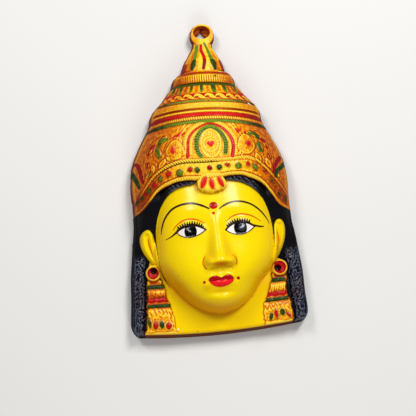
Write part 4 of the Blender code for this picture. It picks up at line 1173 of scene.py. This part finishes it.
        # lashes: place along the lid, height above it, and distance in from the first and the last lash
        first, last = (0.02, 0.93) if side < 0 else (0.04, 0.86)
        d, run_, side_, total = near_line(x[here], y[here], smooth_line(e["upper"]))
        lid_up[here], lid_run[here] = np.clip(d * side_, FAR, 6), run_
        lash[here] = np.clip(np.minimum(t[here] - first, last - t[here]) * 21, FAR, 6)
    out.update(skin=skin, gold=gold, red=red, green=green, dark=dark, white=white, orange=orange, iris=iris,
               lid_up=lid_up, lid_run=lid_run, lash=lash)
    out["lips"] = lips
    # soft fields ---------------------------------------------------------
    # grey paint on the right iris, and a painted highlight on each iris
    out["iris_grey_and_highlight"] = np.maximum(0.22 * ramp(-0.2, 0.5, oval(x, y, 18.6, 77.8, 2.9, 3.7)) + 0.30 * mound(x, y, 18.5, 78.6, 1.0, 1.2),
                              0.10 * mound(x, y, -18.6, 79.4, 1.8, 0.6))
    # brown painted shade under the jaw, where the brown is partly sprayed paint as well; a painted shadow under the
    # nose; painted shade in the crease under the lip, under the left mouth corner and down the left edge of the face;
    # the neck browner, most of all under the chin
    jaw = smooth_line(((-42.5, 56.0), (-40.8, 49.5), (-38.1, 45.0), (-33.7, 37.8), (-28.9, 31.4), (-23.3, 25.9), (-17.0, 21.6), (-10.1, 18.6),
                       (-2.7, 16.8), (4.8, 17.0), (11.8, 19.4), (18.0, 23.1), (23.3, 27.6), (27.5, 33.0), (31.4, 38.5), (35.5, 44.0)))
    d, run_, side_, total = near_line(x, y, jaw)
    d = d * side_                                                           # positive towards the face
    place = run_ / total
    strength = np.interp(place, (0, 0.10, 0.22, 0.36, 0.62, 0.72, 0.80, 1), (0.14, 0.38, 0.54, 0.58, 0.58, 0.38, 0.20, 0.18))
    reach = np.interp(place, (0, 0.25, 0.5, 0.62, 0.8, 1), (9.0, 11.5, 9.0, 8.0, 6.5, 6.0))
    shade = strength * np.where(d > 0, ramp(1.0, 0.36, d / reach), np.exp(-(d / 2.4) ** 2)) * ramp(0, 0.03, place)
    shade = shade + 0.95 * mound(x, y, 1.2, 51.5, 7.8, 1.25) + 0.34 * mound(x, y, 0.4, 31.9, 8.0, 1.5)
    shade = shade + (0.13 + 0.12 * mound(x, y, -2.0, 12.0, 22.0, 8.0)) * ramp(0.0, -3.0, face_in) * ramp(56, 48, y)
    shade = shade + 0.30 * mound(x, y, -9.5, 35.0, 3.2, 2.4) + 0.16 * mound(x, y, -40.5, 74, 3.0, 14.0)
    # gold more orange towards the crown's sides: partly its paint, partly painted shade where the sides turn away
    out["amber"] = ramp(0.10, 0.88, np.abs(x - 1.5) / np.maximum(half_width(y), 1)) * ramp(100, 116, level)
    out["shade"] = np.clip(shade, 0, 1.2)
    # how dark the reds and greens are: towards the ends of the bands
    away = np.clip(np.abs(x + 2) / np.maximum(half_width(y), 1), 0, 1)
    tone = ramp(0.35, 0.85, away) + 0.25 * noise(x / 3.0, y / 3.0, 73)
    tone = np.where(level > 198, np.where(y < 209, 0.95, 0.25), tone)
    tone = np.where((level > 174.4) & (level < 198), np.where(level < 183, 0.35, 0.85), tone)
    tone = np.where((level < 60), np.where(red > green, 0.52, 1.0) + 0.3 * noise(x / 2.0, y / 2.0, 74), tone)
    # gems: painted light, lighter in the middle and darker at the edge, also darker towards the sides and unevenly
    # toned
    jewel = 0.82 - 0.55 * np.clip(gem / 1.5, 0, 1) + 0.36 * noise(x / 1.6, y / 1.6, 75) + 0.35 * ramp(30, 50, np.abs(x))
    tone = np.where((level < 125.8) & (level > 98), np.where(np.abs(x + 1) < 11, 0.1 + 0.35 * (gem > -1), 0) + jewel * (gem > -1), tone)
    tone = np.where((np.hypot(x + 1.1, y - 93.0) < 8) & (level < 112), 0.35 + 0.35 * ramp(-1.0, 2.2, y - x - 95.0), tone)
    # painted shade: the upper lip, which faces down, is painted the darker
    tone = np.where(lips > -0.6, ramp(-1.9, 2.0, y - 40.5 - 0.03 * x), tone)   # the upper lip is the darker
    out["tone"] = np.clip(tone, 0, 1)
    return out


def gold_tone_and_light(x, y, level):
    """Where the gold is brighter or deeper than elsewhere, both as its paint and as painted light: lighter on the front
    of the finial, the tier's middle and the fan, deeper towards sides and edges.
    """
    across = np.abs(x - lean(y)) / np.maximum(half_width(y), 1)
    g = 0.9 * ramp(0.70, 0.45, across) * ramp(198.0, 200.5, level)           # the finial's front
    g = g - 0.75 * ramp(188.3, 189.0, level) * ramp(196.6, 195.6, level)      # the collar
    g = g - 0.55 * ramp(180.5, 182.0, level) * ramp(188.0, 187.0, level)      # the flutes
    g = g + 0.65 * ramp(0.62, 0.25, across) * ramp(114.0, 117.0, level) * ramp(157.0, 154.5, level)
    g = g + 0.9 * ramp(12.0, 9.0, np.hypot(x + 1.3, y - 111.0)) * (y < 117.5)
    for side in (-1, 1):                                                     # earrings: deeper towards their edges
        p, _ = pendant(x, y, side)
        g = g - 2.0 * ramp(2.8, 0.2, p + 0.5 * noise(x / 2.2, y / 3.0, 94)) * (p > -1.5) * (y > 7)
        cx, cy, r0, _, _ = STUDS[side]
        g = g - 0.9 * (np.hypot(x - cx, y - cy) < r0 + 2.5) - 1.1 * ramp(0.5, 3.5, side * (x - cx)) * (np.hypot(x - cx, y - cy) < r0 + 2.5)
        g = g - 1.3 * np.exp(-((y - 31.8) / 1.3) ** 2) * (p > 0)
        if side < 0:                                                         # the left one's fluted roll is browner
            g = g - 2.2 * np.exp(-((y - 33.6) / 3.4) ** 4) * (p > 0) * (1 - mound(x, y, -43.6, 35.4, 3.6, 1.8))
    g = g + 0.7 * ramp(0.80, 0.30, across) * ramp(116.6, 117.4, level) * ramp(126.4, 125.6, level)
    g = g - 1.0 * ramp(0.50, 0.85, across) * ramp(112.0, 113.0, level) * ramp(128.6, 127.6, level)
    return g


def shading_fields(x, y, level, z):
    """How much a place lies in a groove or stands out of it, and how far it faces the front."""
    def at(dx, dy):
        xx, yy = x + dx, y + dy
        return relief(xx, yy, level_of(xx, yy))

    r = 0.95
    ring = [at(r * math.cos(a), r * math.sin(a)) for a in np.arange(6) * math.pi / 3]
    cavity = z - sum(ring) / 6
    r = 2.6
    e, w, n, s = at(r, 0), at(-r, 0), at(0, r), at(0, -r)
    broad = z - (e + w + n + s) / 4
    facing = 1 / np.sqrt(1 + ((e - w) / (2 * r)) ** 2 + ((n - s) / (2 * r)) ** 2)
    return cavity, broad, facing, (n - s) / (2 * r)


# ---------------------------------------------------------------- the finished mesh
def put(me, name, values):
    a = me.attributes.new(name, "FLOAT", "POINT")
    a.data.foreach_set("value", np.ascontiguousarray(values, dtype=np.float32))


def build_mask():
    body, grid = front_body()
    carve(body, loop_body(), "UNION")
    carve(body, hollow_body(), "DIFFERENCE")
    carve(body, loop_hole(), "DIFFERENCE")
    carve(body, spill((1.3, 230.9), 32.3, 5.0, 2.6), "UNION")
    carve(body, spill((-2.4, 231.9), 134.0, 3.6, 3.4), "UNION")
    carve(body, floor_cut(), "DIFFERENCE")
    me = body.data
    me.name = "deity_mask"
    bm = bmesh.new()
    bm.from_mesh(me)
    bmesh.ops.dissolve_degenerate(bm, dist=0.00001, edges=bm.edges)
    bm.to_mesh(me)
    bm.free()
    me.shade_smooth()
    me.set_sharp_from_angle(angle=math.radians(72))

    co = np.empty(len(me.vertices) * 3, dtype=np.float32)
    me.vertices.foreach_get("co", co)
    co = co.reshape(-1, 3).astype(float)
    x, y, z = co[:, 0] / MM, co[:, 1] / MM + MID_Y, co[:, 2] / MM
    level = level_of(x, y)
    for name, values in paint(x, y, level, z).items():
        put(me, name, values)

    # fields worked out on the front's own grid are carried over to the nearest finished points
    gx, gy, glevel, gz = grid
    cavity, broad, facing, tilt = shading_fields(gx, gy, glevel, gz)
    tree = kdtree.KDTree(len(gx))
    for i, p in enumerate(to_frame(gx, gy, gz)):
        tree.insert(p, i)
    tree.balance()
    found = [tree.find(p)[1:] for p in co]
    near = np.array([f[0] for f in found])
    away = np.array([f[1] for f in found]) / MM
    on_loop = np.hypot(x, y - LOOP_Y) < LOOP_R_BACK + 0.3
    inside = (np.abs(x - lean(y)) < hollow_width(y) + 0.4) & (y > 9.0) & (y < 195.5) & (away > 1.6)
    flat = z < 0.02
    plain = on_loop | inside | flat
    put(me, "cavity", np.where(plain, 0, np.clip(cavity[near], -1.5, 1.5)))
    put(me, "broad", np.where(plain, 0, np.clip(broad[near], -3, 3)))
    put(me, "facing", np.where(plain, 0.9, facing[near]))
    put(me, "bare", np.where(inside, 1.0, 0.0))
    # the loop: its flat front face painted lighter and its walls deeper, partly paint and partly painted light
    put(me, "gold_tone_and_light", np.where(on_loop & (y > 222.5), np.where(z > 9.0, 1.6, -1.0), gold_tone_and_light(x, y, level)))
    hole = np.hypot(x, (y - LOOP_Y - EYE_UP) / EYE_SQUASH)
    put(me, "hole", np.where(on_loop, np.clip(EYE_R_FRONT + 0.6 - hole, FAR, 6), FAR))
    put(me, "height", z)
    put(me, "hem", ramp(5.5, 3.2, edge_distance(x, y)[1]))
    hair_on = np.maximum(hair_lock(x, y, -1), hair_lock(x, y, 1))
    put(me, "curl", np.maximum(ramp(-0.05, 0.05, hair_on) * ramp(66, 56, y), 0.85 * ramp(99, 104, y) * ramp(35, 28, np.abs(x))))

    # one flat map: the front as it is drawn with its walls folded outward, the back beside it
    mesh_uv = me.uv_layers.new(name="OFBake")
    loops = np.empty(len(me.loops), dtype=np.int32)
    me.loops.foreach_get("vertex_index", loops)
    fold = np.clip(9.0 - z, 0, 9) * 0.8
    size = np.hypot(x, (y - 118) * 0.55) + 1e-6
    fx, fy = x + fold * x / size, y + fold * (y - 118) * 0.55 / size
    u_front, v_front = (fx + 82) / 290.0, (fy + 14) / 270.0
    u_back, v_back = (x + 70) / 290.0 + 0.565, (y + 14) / 270.0
    normals = np.empty(len(me.polygons) * 3, dtype=np.float32)
    me.polygons.foreach_get("normal", normals)
    down = normals.reshape(-1, 3)[:, 2] < -0.02
    starts = np.empty(len(me.polygons), dtype=np.int32)
    counts = np.empty(len(me.polygons), dtype=np.int32)
    me.polygons.foreach_get("loop_start", starts)
    me.polygons.foreach_get("loop_total", counts)
    back = np.repeat(down, counts)
    uv = np.where(back[:, None], np.stack([u_back[loops], v_back[loops]], 1), np.stack([u_front[loops], v_front[loops]], 1))
    mesh_uv.data.foreach_set("uv", uv.astype(np.float32).ravel())
    return body


# ---------------------------------------------------------------- the paint itself
def colour(r, g, b):
    return tuple((c / 255 / 12.92) if c / 255 <= 0.04045 else ((c / 255 + 0.055) / 1.055) ** 2.4 for c in (r, g, b)) + (1.0,)


class Brush:
    """Short names for the shader nodes used here."""

    def __init__(self, tree):
        self.tree = tree
        self.spot = 0

    def node(self, kind):
        n = self.tree.nodes.new(kind)
        n.location = (-(self.spot % 12) * 190, -(self.spot // 12) * 170)
        self.spot += 1
        return n

    def join(self, socket, value):
        if isinstance(value, bpy.types.NodeSocket):
            self.tree.links.new(value, socket)
        else:
            socket.default_value = value

    def field(self, name):
        n = self.node("ShaderNodeAttribute")
        n.attribute_type = "GEOMETRY"
        n.attribute_name = name
        return n.outputs["Fac"]

    def math(self, op, a, b=0.0, c=0.0, clamp=False):
        n = self.node("ShaderNodeMath")
        n.operation = op
        n.use_clamp = clamp
        for s, v in zip(n.inputs, (a, b, c)):
            self.join(s, v)
        return n.outputs[0]

    def edge(self, d, soft, at=0.0):
        """0 to 1 across `soft` millimetres at distance `at`."""
        return self.math("MULTIPLY_ADD", self.math("SUBTRACT", d, at), 1 / soft, 0.5, clamp=True)

    def span(self, v, a, b):
        n = self.node("ShaderNodeMapRange")
        n.interpolation_type = "SMOOTHSTEP"
        n.clamp = True
        self.join(n.inputs["Value"], v)
        n.inputs["From Min"].default_value, n.inputs["From Max"].default_value = a, b
        return n.outputs["Result"]

    def mix(self, f, a, b):
        n = self.node("ShaderNodeMix")
        n.data_type = "RGBA"
        self.join(n.inputs["Factor"], f)
        self.join(n.inputs[6], a)
        self.join(n.inputs[7], b)
        return n.outputs[2]

    def noise(self, mm, detail=2.0, rough=0.5, shift=0.0):
        """Noise with features about `mm` millimetres across, 0 to 1."""
        n = self.node("ShaderNodeTexNoise")
        n.noise_dimensions = "4D"
        self.join(n.inputs["Vector"], self.place)
        n.inputs["W"].default_value = shift
        n.inputs["Scale"].default_value = 1000.0 / mm
        n.inputs["Detail"].default_value = detail
        n.inputs["Roughness"].default_value = rough
        return n.outputs["Fac"]

    def ramp(self, f, stops):
        n = self.node("ShaderNodeValToRGB")
        r = n.color_ramp
        r.elements[0].position, r.elements[0].color = stops[0]
        r.elements[1].position, r.elements[1].color = stops[-1]
        for at, c in stops[1:-1]:
            e = r.elements.new(at)
            e.color = c
        self.join(n.inputs["Fac"], f)
        return n.outputs["Color"]


def painted_plaster():
    mat = bpy.data.materials.new("painted_plaster")
    mat.use_nodes = True
    tree = mat.node_tree
    tree.nodes.clear()
    b = Brush(tree)
    b.place = b.node("ShaderNodeTexCoord").outputs["Object"]
    geo = b.node("ShaderNodeNewGeometry")
    split = b.node("ShaderNodeSeparateXYZ")
    tree.links.new(geo.outputs["True Normal"], split.inputs[0])
    up = split.outputs["Z"]

    f = {n: b.field(n) for n in ("skin", "gold", "red", "green", "dark", "white", "orange", "iris", "lid_up", "lid_run", "lash",
                                 "lips", "iris_grey_and_highlight", "shade", "tone", "cavity", "broad", "facing", "bare", "curl",
                                 "height", "hole", "amber", "beat", "cuts", "tooth", "rust", "gem", "hem", "gold_tone_and_light")}
    wob = b.math("SUBTRACT", b.noise(1.5, 2, 0.55, 1.0), 0.5)               # uneven edges of hand painting
    wob2 = b.math("SUBTRACT", b.noise(4.5, 1, 0.5, 2.0), 0.5)
    fine = b.noise(0.7, 3, 0.6, 3.0)
    mottle = b.noise(3.2, 3, 0.6, 4.0)
    cloud = b.noise(14, 2, 0.5, 5.0)

    def wobbled(d, amount):
        return b.math("MULTIPLY_ADD", wob, amount, b.math("MULTIPLY_ADD", wob2, amount * 0.8, d))

    # black hair, greyed on the raised curls, partly dry-brushed grey paint and partly painted sheen, with painted white
    # glints
    dry_brush_and_sheen = b.math("MULTIPLY", b.span(b.math("MULTIPLY_ADD", mottle, 0.45, f["cavity"]), 0.20, 0.62), f["curl"])
    hair = b.mix(dry_brush_and_sheen, colour(11, 11, 15), b.mix(b.span(fine, 0.56, 0.70), b.mix(b.span(cloud, 0.45, 0.60), colour(78, 82, 104), colour(80, 70, 84)), colour(196, 198, 212)))
    base = hair
    # yellow skin; painted shade turns it orange where it faces away from the front and in its hollows, with a little
    # random mottling
    skin_painted_shade = b.math("MULTIPLY_ADD", b.math("SUBTRACT", mottle, 0.5), 0.10,
                  b.math("MULTIPLY_ADD", b.math("MAXIMUM", f["cavity"], -0.25), -0.30, b.math("MULTIPLY_ADD", f["facing"], -0.82, 0.73)), clamp=True)
    skin = b.mix(skin_painted_shade, colour(252, 219, 2), colour(236, 150, 0))
    # painted shade: the brown of the shade field (under the jaw, under the nose, in the lip crease) laid over the skin
    skin = b.mix(b.math("MULTIPLY", f["shade"], b.math("MULTIPLY_ADD", fine, 0.25, 0.85), clamp=True), skin, colour(190, 92, 0))
    base = b.mix(b.edge(wobbled(f["skin"], 0.35), 0.3), base, skin)
    base_skin = b.edge(wobbled(f["skin"], 0.35), 0.3)
    # gilded crown and earrings: yellow dabbed on the ridges and orange in the cuts, partly as the paint lies and partly
    # as painted shade; painted shade also makes the gold deeper where it faces away from the front and lighter on broad
    # raised parts
    cut = b.math("MINIMUM", b.math("MAXIMUM", f["cavity"], -0.24), 0.30)
    lit = b.math("MULTIPLY_ADD", cut, 1.3, 0.60)
    lit = b.math("MULTIPLY_ADD", f["amber"], -0.29, lit)
    lit = b.math("MULTIPLY_ADD", f["broad"], 0.06, lit)
    lit = b.math("MULTIPLY_ADD", b.math("SUBTRACT", f["facing"], 0.85), 0.22, lit)
    lit = b.math("MULTIPLY_ADD", b.math("SUBTRACT", mottle, 0.5), 0.24, lit)
    dab = b.span(b.noise(1.3, 2, 0.6, 9.0), 0.36, 0.64)
    lit = b.math("MULTIPLY_ADD", b.math("SUBTRACT", dab, 0.5), 0.08, lit)
    lit = b.math("MULTIPLY_ADD", f["gold_tone_and_light"], 0.16, lit)
    # painted shade: the gold darker on steep walls
    steep = b.span(up, 0.05, 0.55)
    lit = b.math("MULTIPLY", lit, b.math("MULTIPLY_ADD", steep, 0.50, 0.50), clamp=True)
    gold = b.ramp(lit, ((0.08, colour(140, 50, 2)), (0.26, colour(192, 84, 3)), (0.44, colour(224, 124, 5)),
                        (0.62, colour(246, 176, 14)), (0.86, colour(255, 222, 62))))
    walls = b.mix(b.edge(b.noise(1.6, 2, 0.6, 6.0), 0.12, 0.52), colour(196, 92, 6), colour(146, 52, 4))
    gold = b.mix(b.math("MULTIPLY", b.edge(f["hole"], 0.4, 0.55), b.span(f["height"], 9.9, 9.2)), gold, walls)
    in_gold = b.edge(wobbled(f["gold"], 0.3), 0.3)
    base = b.mix(in_gold, base, gold)
    base = b.mix(b.edge(wobbled(f["orange"], 0.12), 0.28), base, b.mix(in_gold, colour(228, 102, 6), colour(216, 110, 6)))
    # painted shadow: a dark brown ring round the edge of each gem
    base = b.mix(b.math("MULTIPLY", b.edge(b.math("SUBTRACT", 0.28, b.math("ABSOLUTE", b.math("ADD", f["gem"], 0.22))), 0.3),
                        b.math("MULTIPLY_ADD", mottle, 1.2, -0.05), clamp=True), base, colour(84, 44, 8))
    base = b.mix(b.edge(wobbled(f["rust"], 0.3), 0.35), base, b.mix(mottle, colour(206, 62, 12), colour(120, 14, 6)))
    red = b.mix(f["tone"], colour(230, 28, 24), colour(150, 8, 8))
    # painted shade: reds darker in their hollows
    lit_up = b.math("MULTIPLY_ADD", f["cavity"], 0.8, b.math("MULTIPLY_ADD", mottle, 0.4, 0.62), clamp=True)
    red = b.mix(lit_up, colour(112, 4, 12), red)
    base = b.mix(b.edge(wobbled(f["red"], 0.3), 0.26), base, red)
    green = b.mix(f["tone"], colour(140, 170, 34), colour(36, 58, 12))
    # painted shade: greens darker in their hollows
    green = b.mix(b.math("MULTIPLY_ADD", f["cavity"], 1.1, b.math("MULTIPLY_ADD", mottle, 0.9, 0.26), clamp=True), colour(22, 56, 10), green)
    in_green = b.edge(wobbled(f["green"], 0.3), 0.26)
    base = b.mix(in_green, base, green)
    # the cuts of the notched rolls
    off = b.math("PINGPONG", f["beat"], 0.5)
    gap = b.math("MULTIPLY", b.span(off, 0.24, 0.06), f["cuts"], clamp=True)
    base = b.mix(gap, base, b.mix(in_green, colour(168, 72, 6), colour(12, 38, 12)))
    base = b.mix(b.math("MULTIPLY", b.edge(b.math("MULTIPLY_ADD", f["tooth"], 0.34, b.math("MULTIPLY_ADD", off, -1.0, -0.02)), 0.08),
                        b.math("MULTIPLY", f["tooth"], 12.0, clamp=True)), base, colour(66, 34, 8))
    lip = b.mix(f["tone"], colour(246, 30, 34), colour(170, 4, 10))
    # painted shade: the lips darker red in their hollows
    base = b.mix(b.edge(f["lips"], 0.2), base, b.mix(b.span(f["cavity"], -0.35, 0.05), colour(140, 0, 8), lip))
    # eyes
    base = b.mix(b.edge(f["white"], 0.2), base, b.mix(fine, colour(242, 224, 214), colour(252, 240, 232)))
    in_iris = b.edge(f["iris"], 0.22)
    base = b.mix(in_iris, base, colour(5, 5, 7))
    # grey paint and painted highlights on the irises
    base = b.mix(b.math("MULTIPLY", f["iris_grey_and_highlight"], b.edge(f["iris"], 0.6, 0.6)), base, colour(88, 94, 122))
    ink = b.mix(b.span(mottle, 0.35, 0.75), colour(16, 10, 10), colour(74, 40, 12))
    base = b.mix(b.edge(wobbled(f["dark"], 0.12), 0.2), base, ink)
    beat = b.math("PINGPONG", b.math("MULTIPLY_ADD", wob2, 0.7, f["lid_run"]), 0.80)
    spike = b.math("SUBTRACT", b.math("MULTIPLY_ADD", f["lid_up"], -0.22, 0.90), beat)
    spike = b.math("MINIMUM", spike, b.math("MINIMUM", b.math("SUBTRACT", 2.9, f["lid_up"]), b.math("ADD", f["lid_up"], 0.2)))
    spike = b.math("MINIMUM", spike, f["lash"])
    base = b.mix(b.edge(spike, 0.2), base, colour(16, 8, 6))
    # unpainted plaster inside and under; brown on the foot of the wall, partly overspray and partly painted shade where
    # the wall turns down
    under = b.math("MAXIMUM", b.span(f["height"], 6.0, 0.5), b.math("MULTIPLY", f["hem"], b.span(f["height"], 13.2, 10.5)))
    foot = b.math("MULTIPLY", under, b.math("SUBTRACT", 1.0, b.span(up, 0.2, 0.75)))
    keep = b.math("MULTIPLY", foot, b.math("MULTIPLY_ADD", mottle, 0.5, 0.85), clamp=True)
    base = b.mix(b.math("MULTIPLY", keep, b.math("MAXIMUM", base_skin, in_gold)), base, b.mix(fine, colour(122, 56, 6), colour(74, 28, 3)))
    dull = b.math("MAXIMUM", f["bare"], b.span(b.math("MULTIPLY", up, -1.0), 0.45, 0.75))
    plaster = b.mix(cloud, colour(214, 206, 192), colour(236, 230, 220))
    plaster = b.mix(b.span(fine, 0.60, 0.75), plaster, colour(196, 184, 164))
    base = b.mix(dull, base, plaster)

    shader = b.node("ShaderNodeBsdfPrincipled")
    b.join(shader.inputs["Base Color"], base)
    rough = b.math("MULTIPLY_ADD", mottle, 0.10, 0.17)
    rough = b.math("MULTIPLY_ADD", in_gold, 0.06, rough)
    rough = b.math("MULTIPLY_ADD", b.math("SUBTRACT", 1.0, b.math("MAXIMUM", base_skin, in_gold)), 0.06, rough)
    rough = b.math("MULTIPLY_ADD", in_iris, -0.15, rough, clamp=True)
    rough = b.math("MULTIPLY_ADD", b.math("SUBTRACT", 1.0, b.span(up, 0.10, 0.50)), 0.40, rough)
    rough = b.math("MULTIPLY_ADD", dull, 0.55, rough, clamp=True)
    b.join(shader.inputs["Roughness"], rough)
    shader.inputs["IOR"].default_value = 1.45
    shader.inputs["Specular IOR Level"].default_value = 0.25
    bump = b.node("ShaderNodeBump")
    bump.inputs["Strength"].default_value = 0.55
    bump.inputs["Distance"].default_value = 0.00022
    rise = b.math("MULTIPLY_ADD", b.noise(2.2, 3, 0.55, 8.0), 1.0, b.math("MULTIPLY", fine, 0.22))
    rise = b.math("MULTIPLY_ADD", b.math("MULTIPLY", dab, in_gold), 0.16, rise)
    rise = b.math("MULTIPLY_ADD", gap, -1.1, rise)
    b.join(bump.inputs["Height"], rise)
    b.join(shader.inputs["Normal"], bump.outputs["Normal"])
    end = b.node("ShaderNodeOutputMaterial")
    b.join(end.inputs["Surface"], shader.outputs[0])
    return mat


# ---------------------------------------------------------------- camera, light and floor
CAM_TARGET = (-3.45955, 97.18817)
CAM_LEFT, CAM_BELOW, CAM_ROLL = 2.2, 6.0, -3.76015
CAM_DISTANCE, CAM_SCALE = 850.0, 0.762


def camera():
    a, e = math.radians(CAM_LEFT), math.radians(CAM_BELOW)
    d = Vector((-math.sin(a) * math.cos(e), -math.sin(e), math.cos(a) * math.cos(e)))
    up = Vector((0, 1, 0))
    up = (up - d * up.dot(d)).normalized()
    right = up.cross(d)
    c, s = math.cos(math.radians(CAM_ROLL)), math.sin(math.radians(CAM_ROLL))
    ex, ey = c * right + s * up, -s * right + c * up
    target = Vector((CAM_TARGET[0] * MM, (CAM_TARGET[1] - MID_Y) * MM, 0))
    spot = target + d * CAM_DISTANCE * MM
    data = bpy.data.cameras.new("camera")
    data.sensor_fit = "HORIZONTAL"
    data.angle = 2 * math.atan(208 * CAM_SCALE / CAM_DISTANCE)
    data.clip_start, data.clip_end = 0.01, 20
    cam = bpy.data.objects.new("camera", data)
    cam.matrix_world = Matrix(((ex.x, ey.x, d.x, spot.x), (ex.y, ey.y, d.y, spot.y), (ex.z, ey.z, d.z, spot.z), (0, 0, 0, 1)))
    bpy.context.scene.collection.objects.link(cam)
    bpy.context.scene.camera = cam


def area(name, at, size, watts, mirrored=True):
    data = bpy.data.lights.new(name, "AREA")
    data.shape = "RECTANGLE"
    data.size, data.size_y = size
    data.energy = watts
    obj = bpy.data.objects.new(name, data)
    obj.location = at
    obj.rotation_euler = (-Vector(at)).to_track_quat("-Z", "Y").to_euler()
    obj.visible_glossy = mirrored
    bpy.context.scene.collection.objects.link(obj)


def studio():
    world = bpy.data.worlds.new("studio")
    bpy.context.scene.world = world
    world.use_nodes = True
    back = world.node_tree.nodes["Background"]
    back.inputs["Color"].default_value = (1.0, 0.99, 0.97, 1)
    back.inputs["Strength"].default_value = 0.155
    area("key", (0.32, 0.42, 0.80), (0.16, 0.34), 5.5)
    area("fill", (-0.36, 0.44, 0.76), (0.14, 0.32), 3.1)
    area("low", (0.06, -0.72, 0.52), (0.50, 0.50), 2.7, mirrored=False)
    me = bpy.data.meshes.new("floor")
    me.from_pydata([(-3, -3, 0), (3, -3, 0), (3, 3, 0), (-3, 3, 0)], [], [(0, 1, 2, 3)])
    floor = bpy.data.objects.new("floor", me)
    bpy.context.scene.collection.objects.link(floor)
    mat = bpy.data.materials.new("floor")
    mat.use_nodes = True
    mat.node_tree.nodes["Principled BSDF"].inputs["Base Color"].default_value = (0.80, 0.79, 0.77, 1)
    mat.node_tree.nodes["Principled BSDF"].inputs["Roughness"].default_value = 0.75
    me.materials.append(mat)
    floor.visible_glossy = False
    view = bpy.context.scene.view_settings
    view.view_transform = "Standard"
    view.look = "None"


mask = build_mask()
mask.data.materials.clear()
mask.data.materials.append(painted_plaster())
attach(mask, "root")
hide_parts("mask")
camera()
studio()
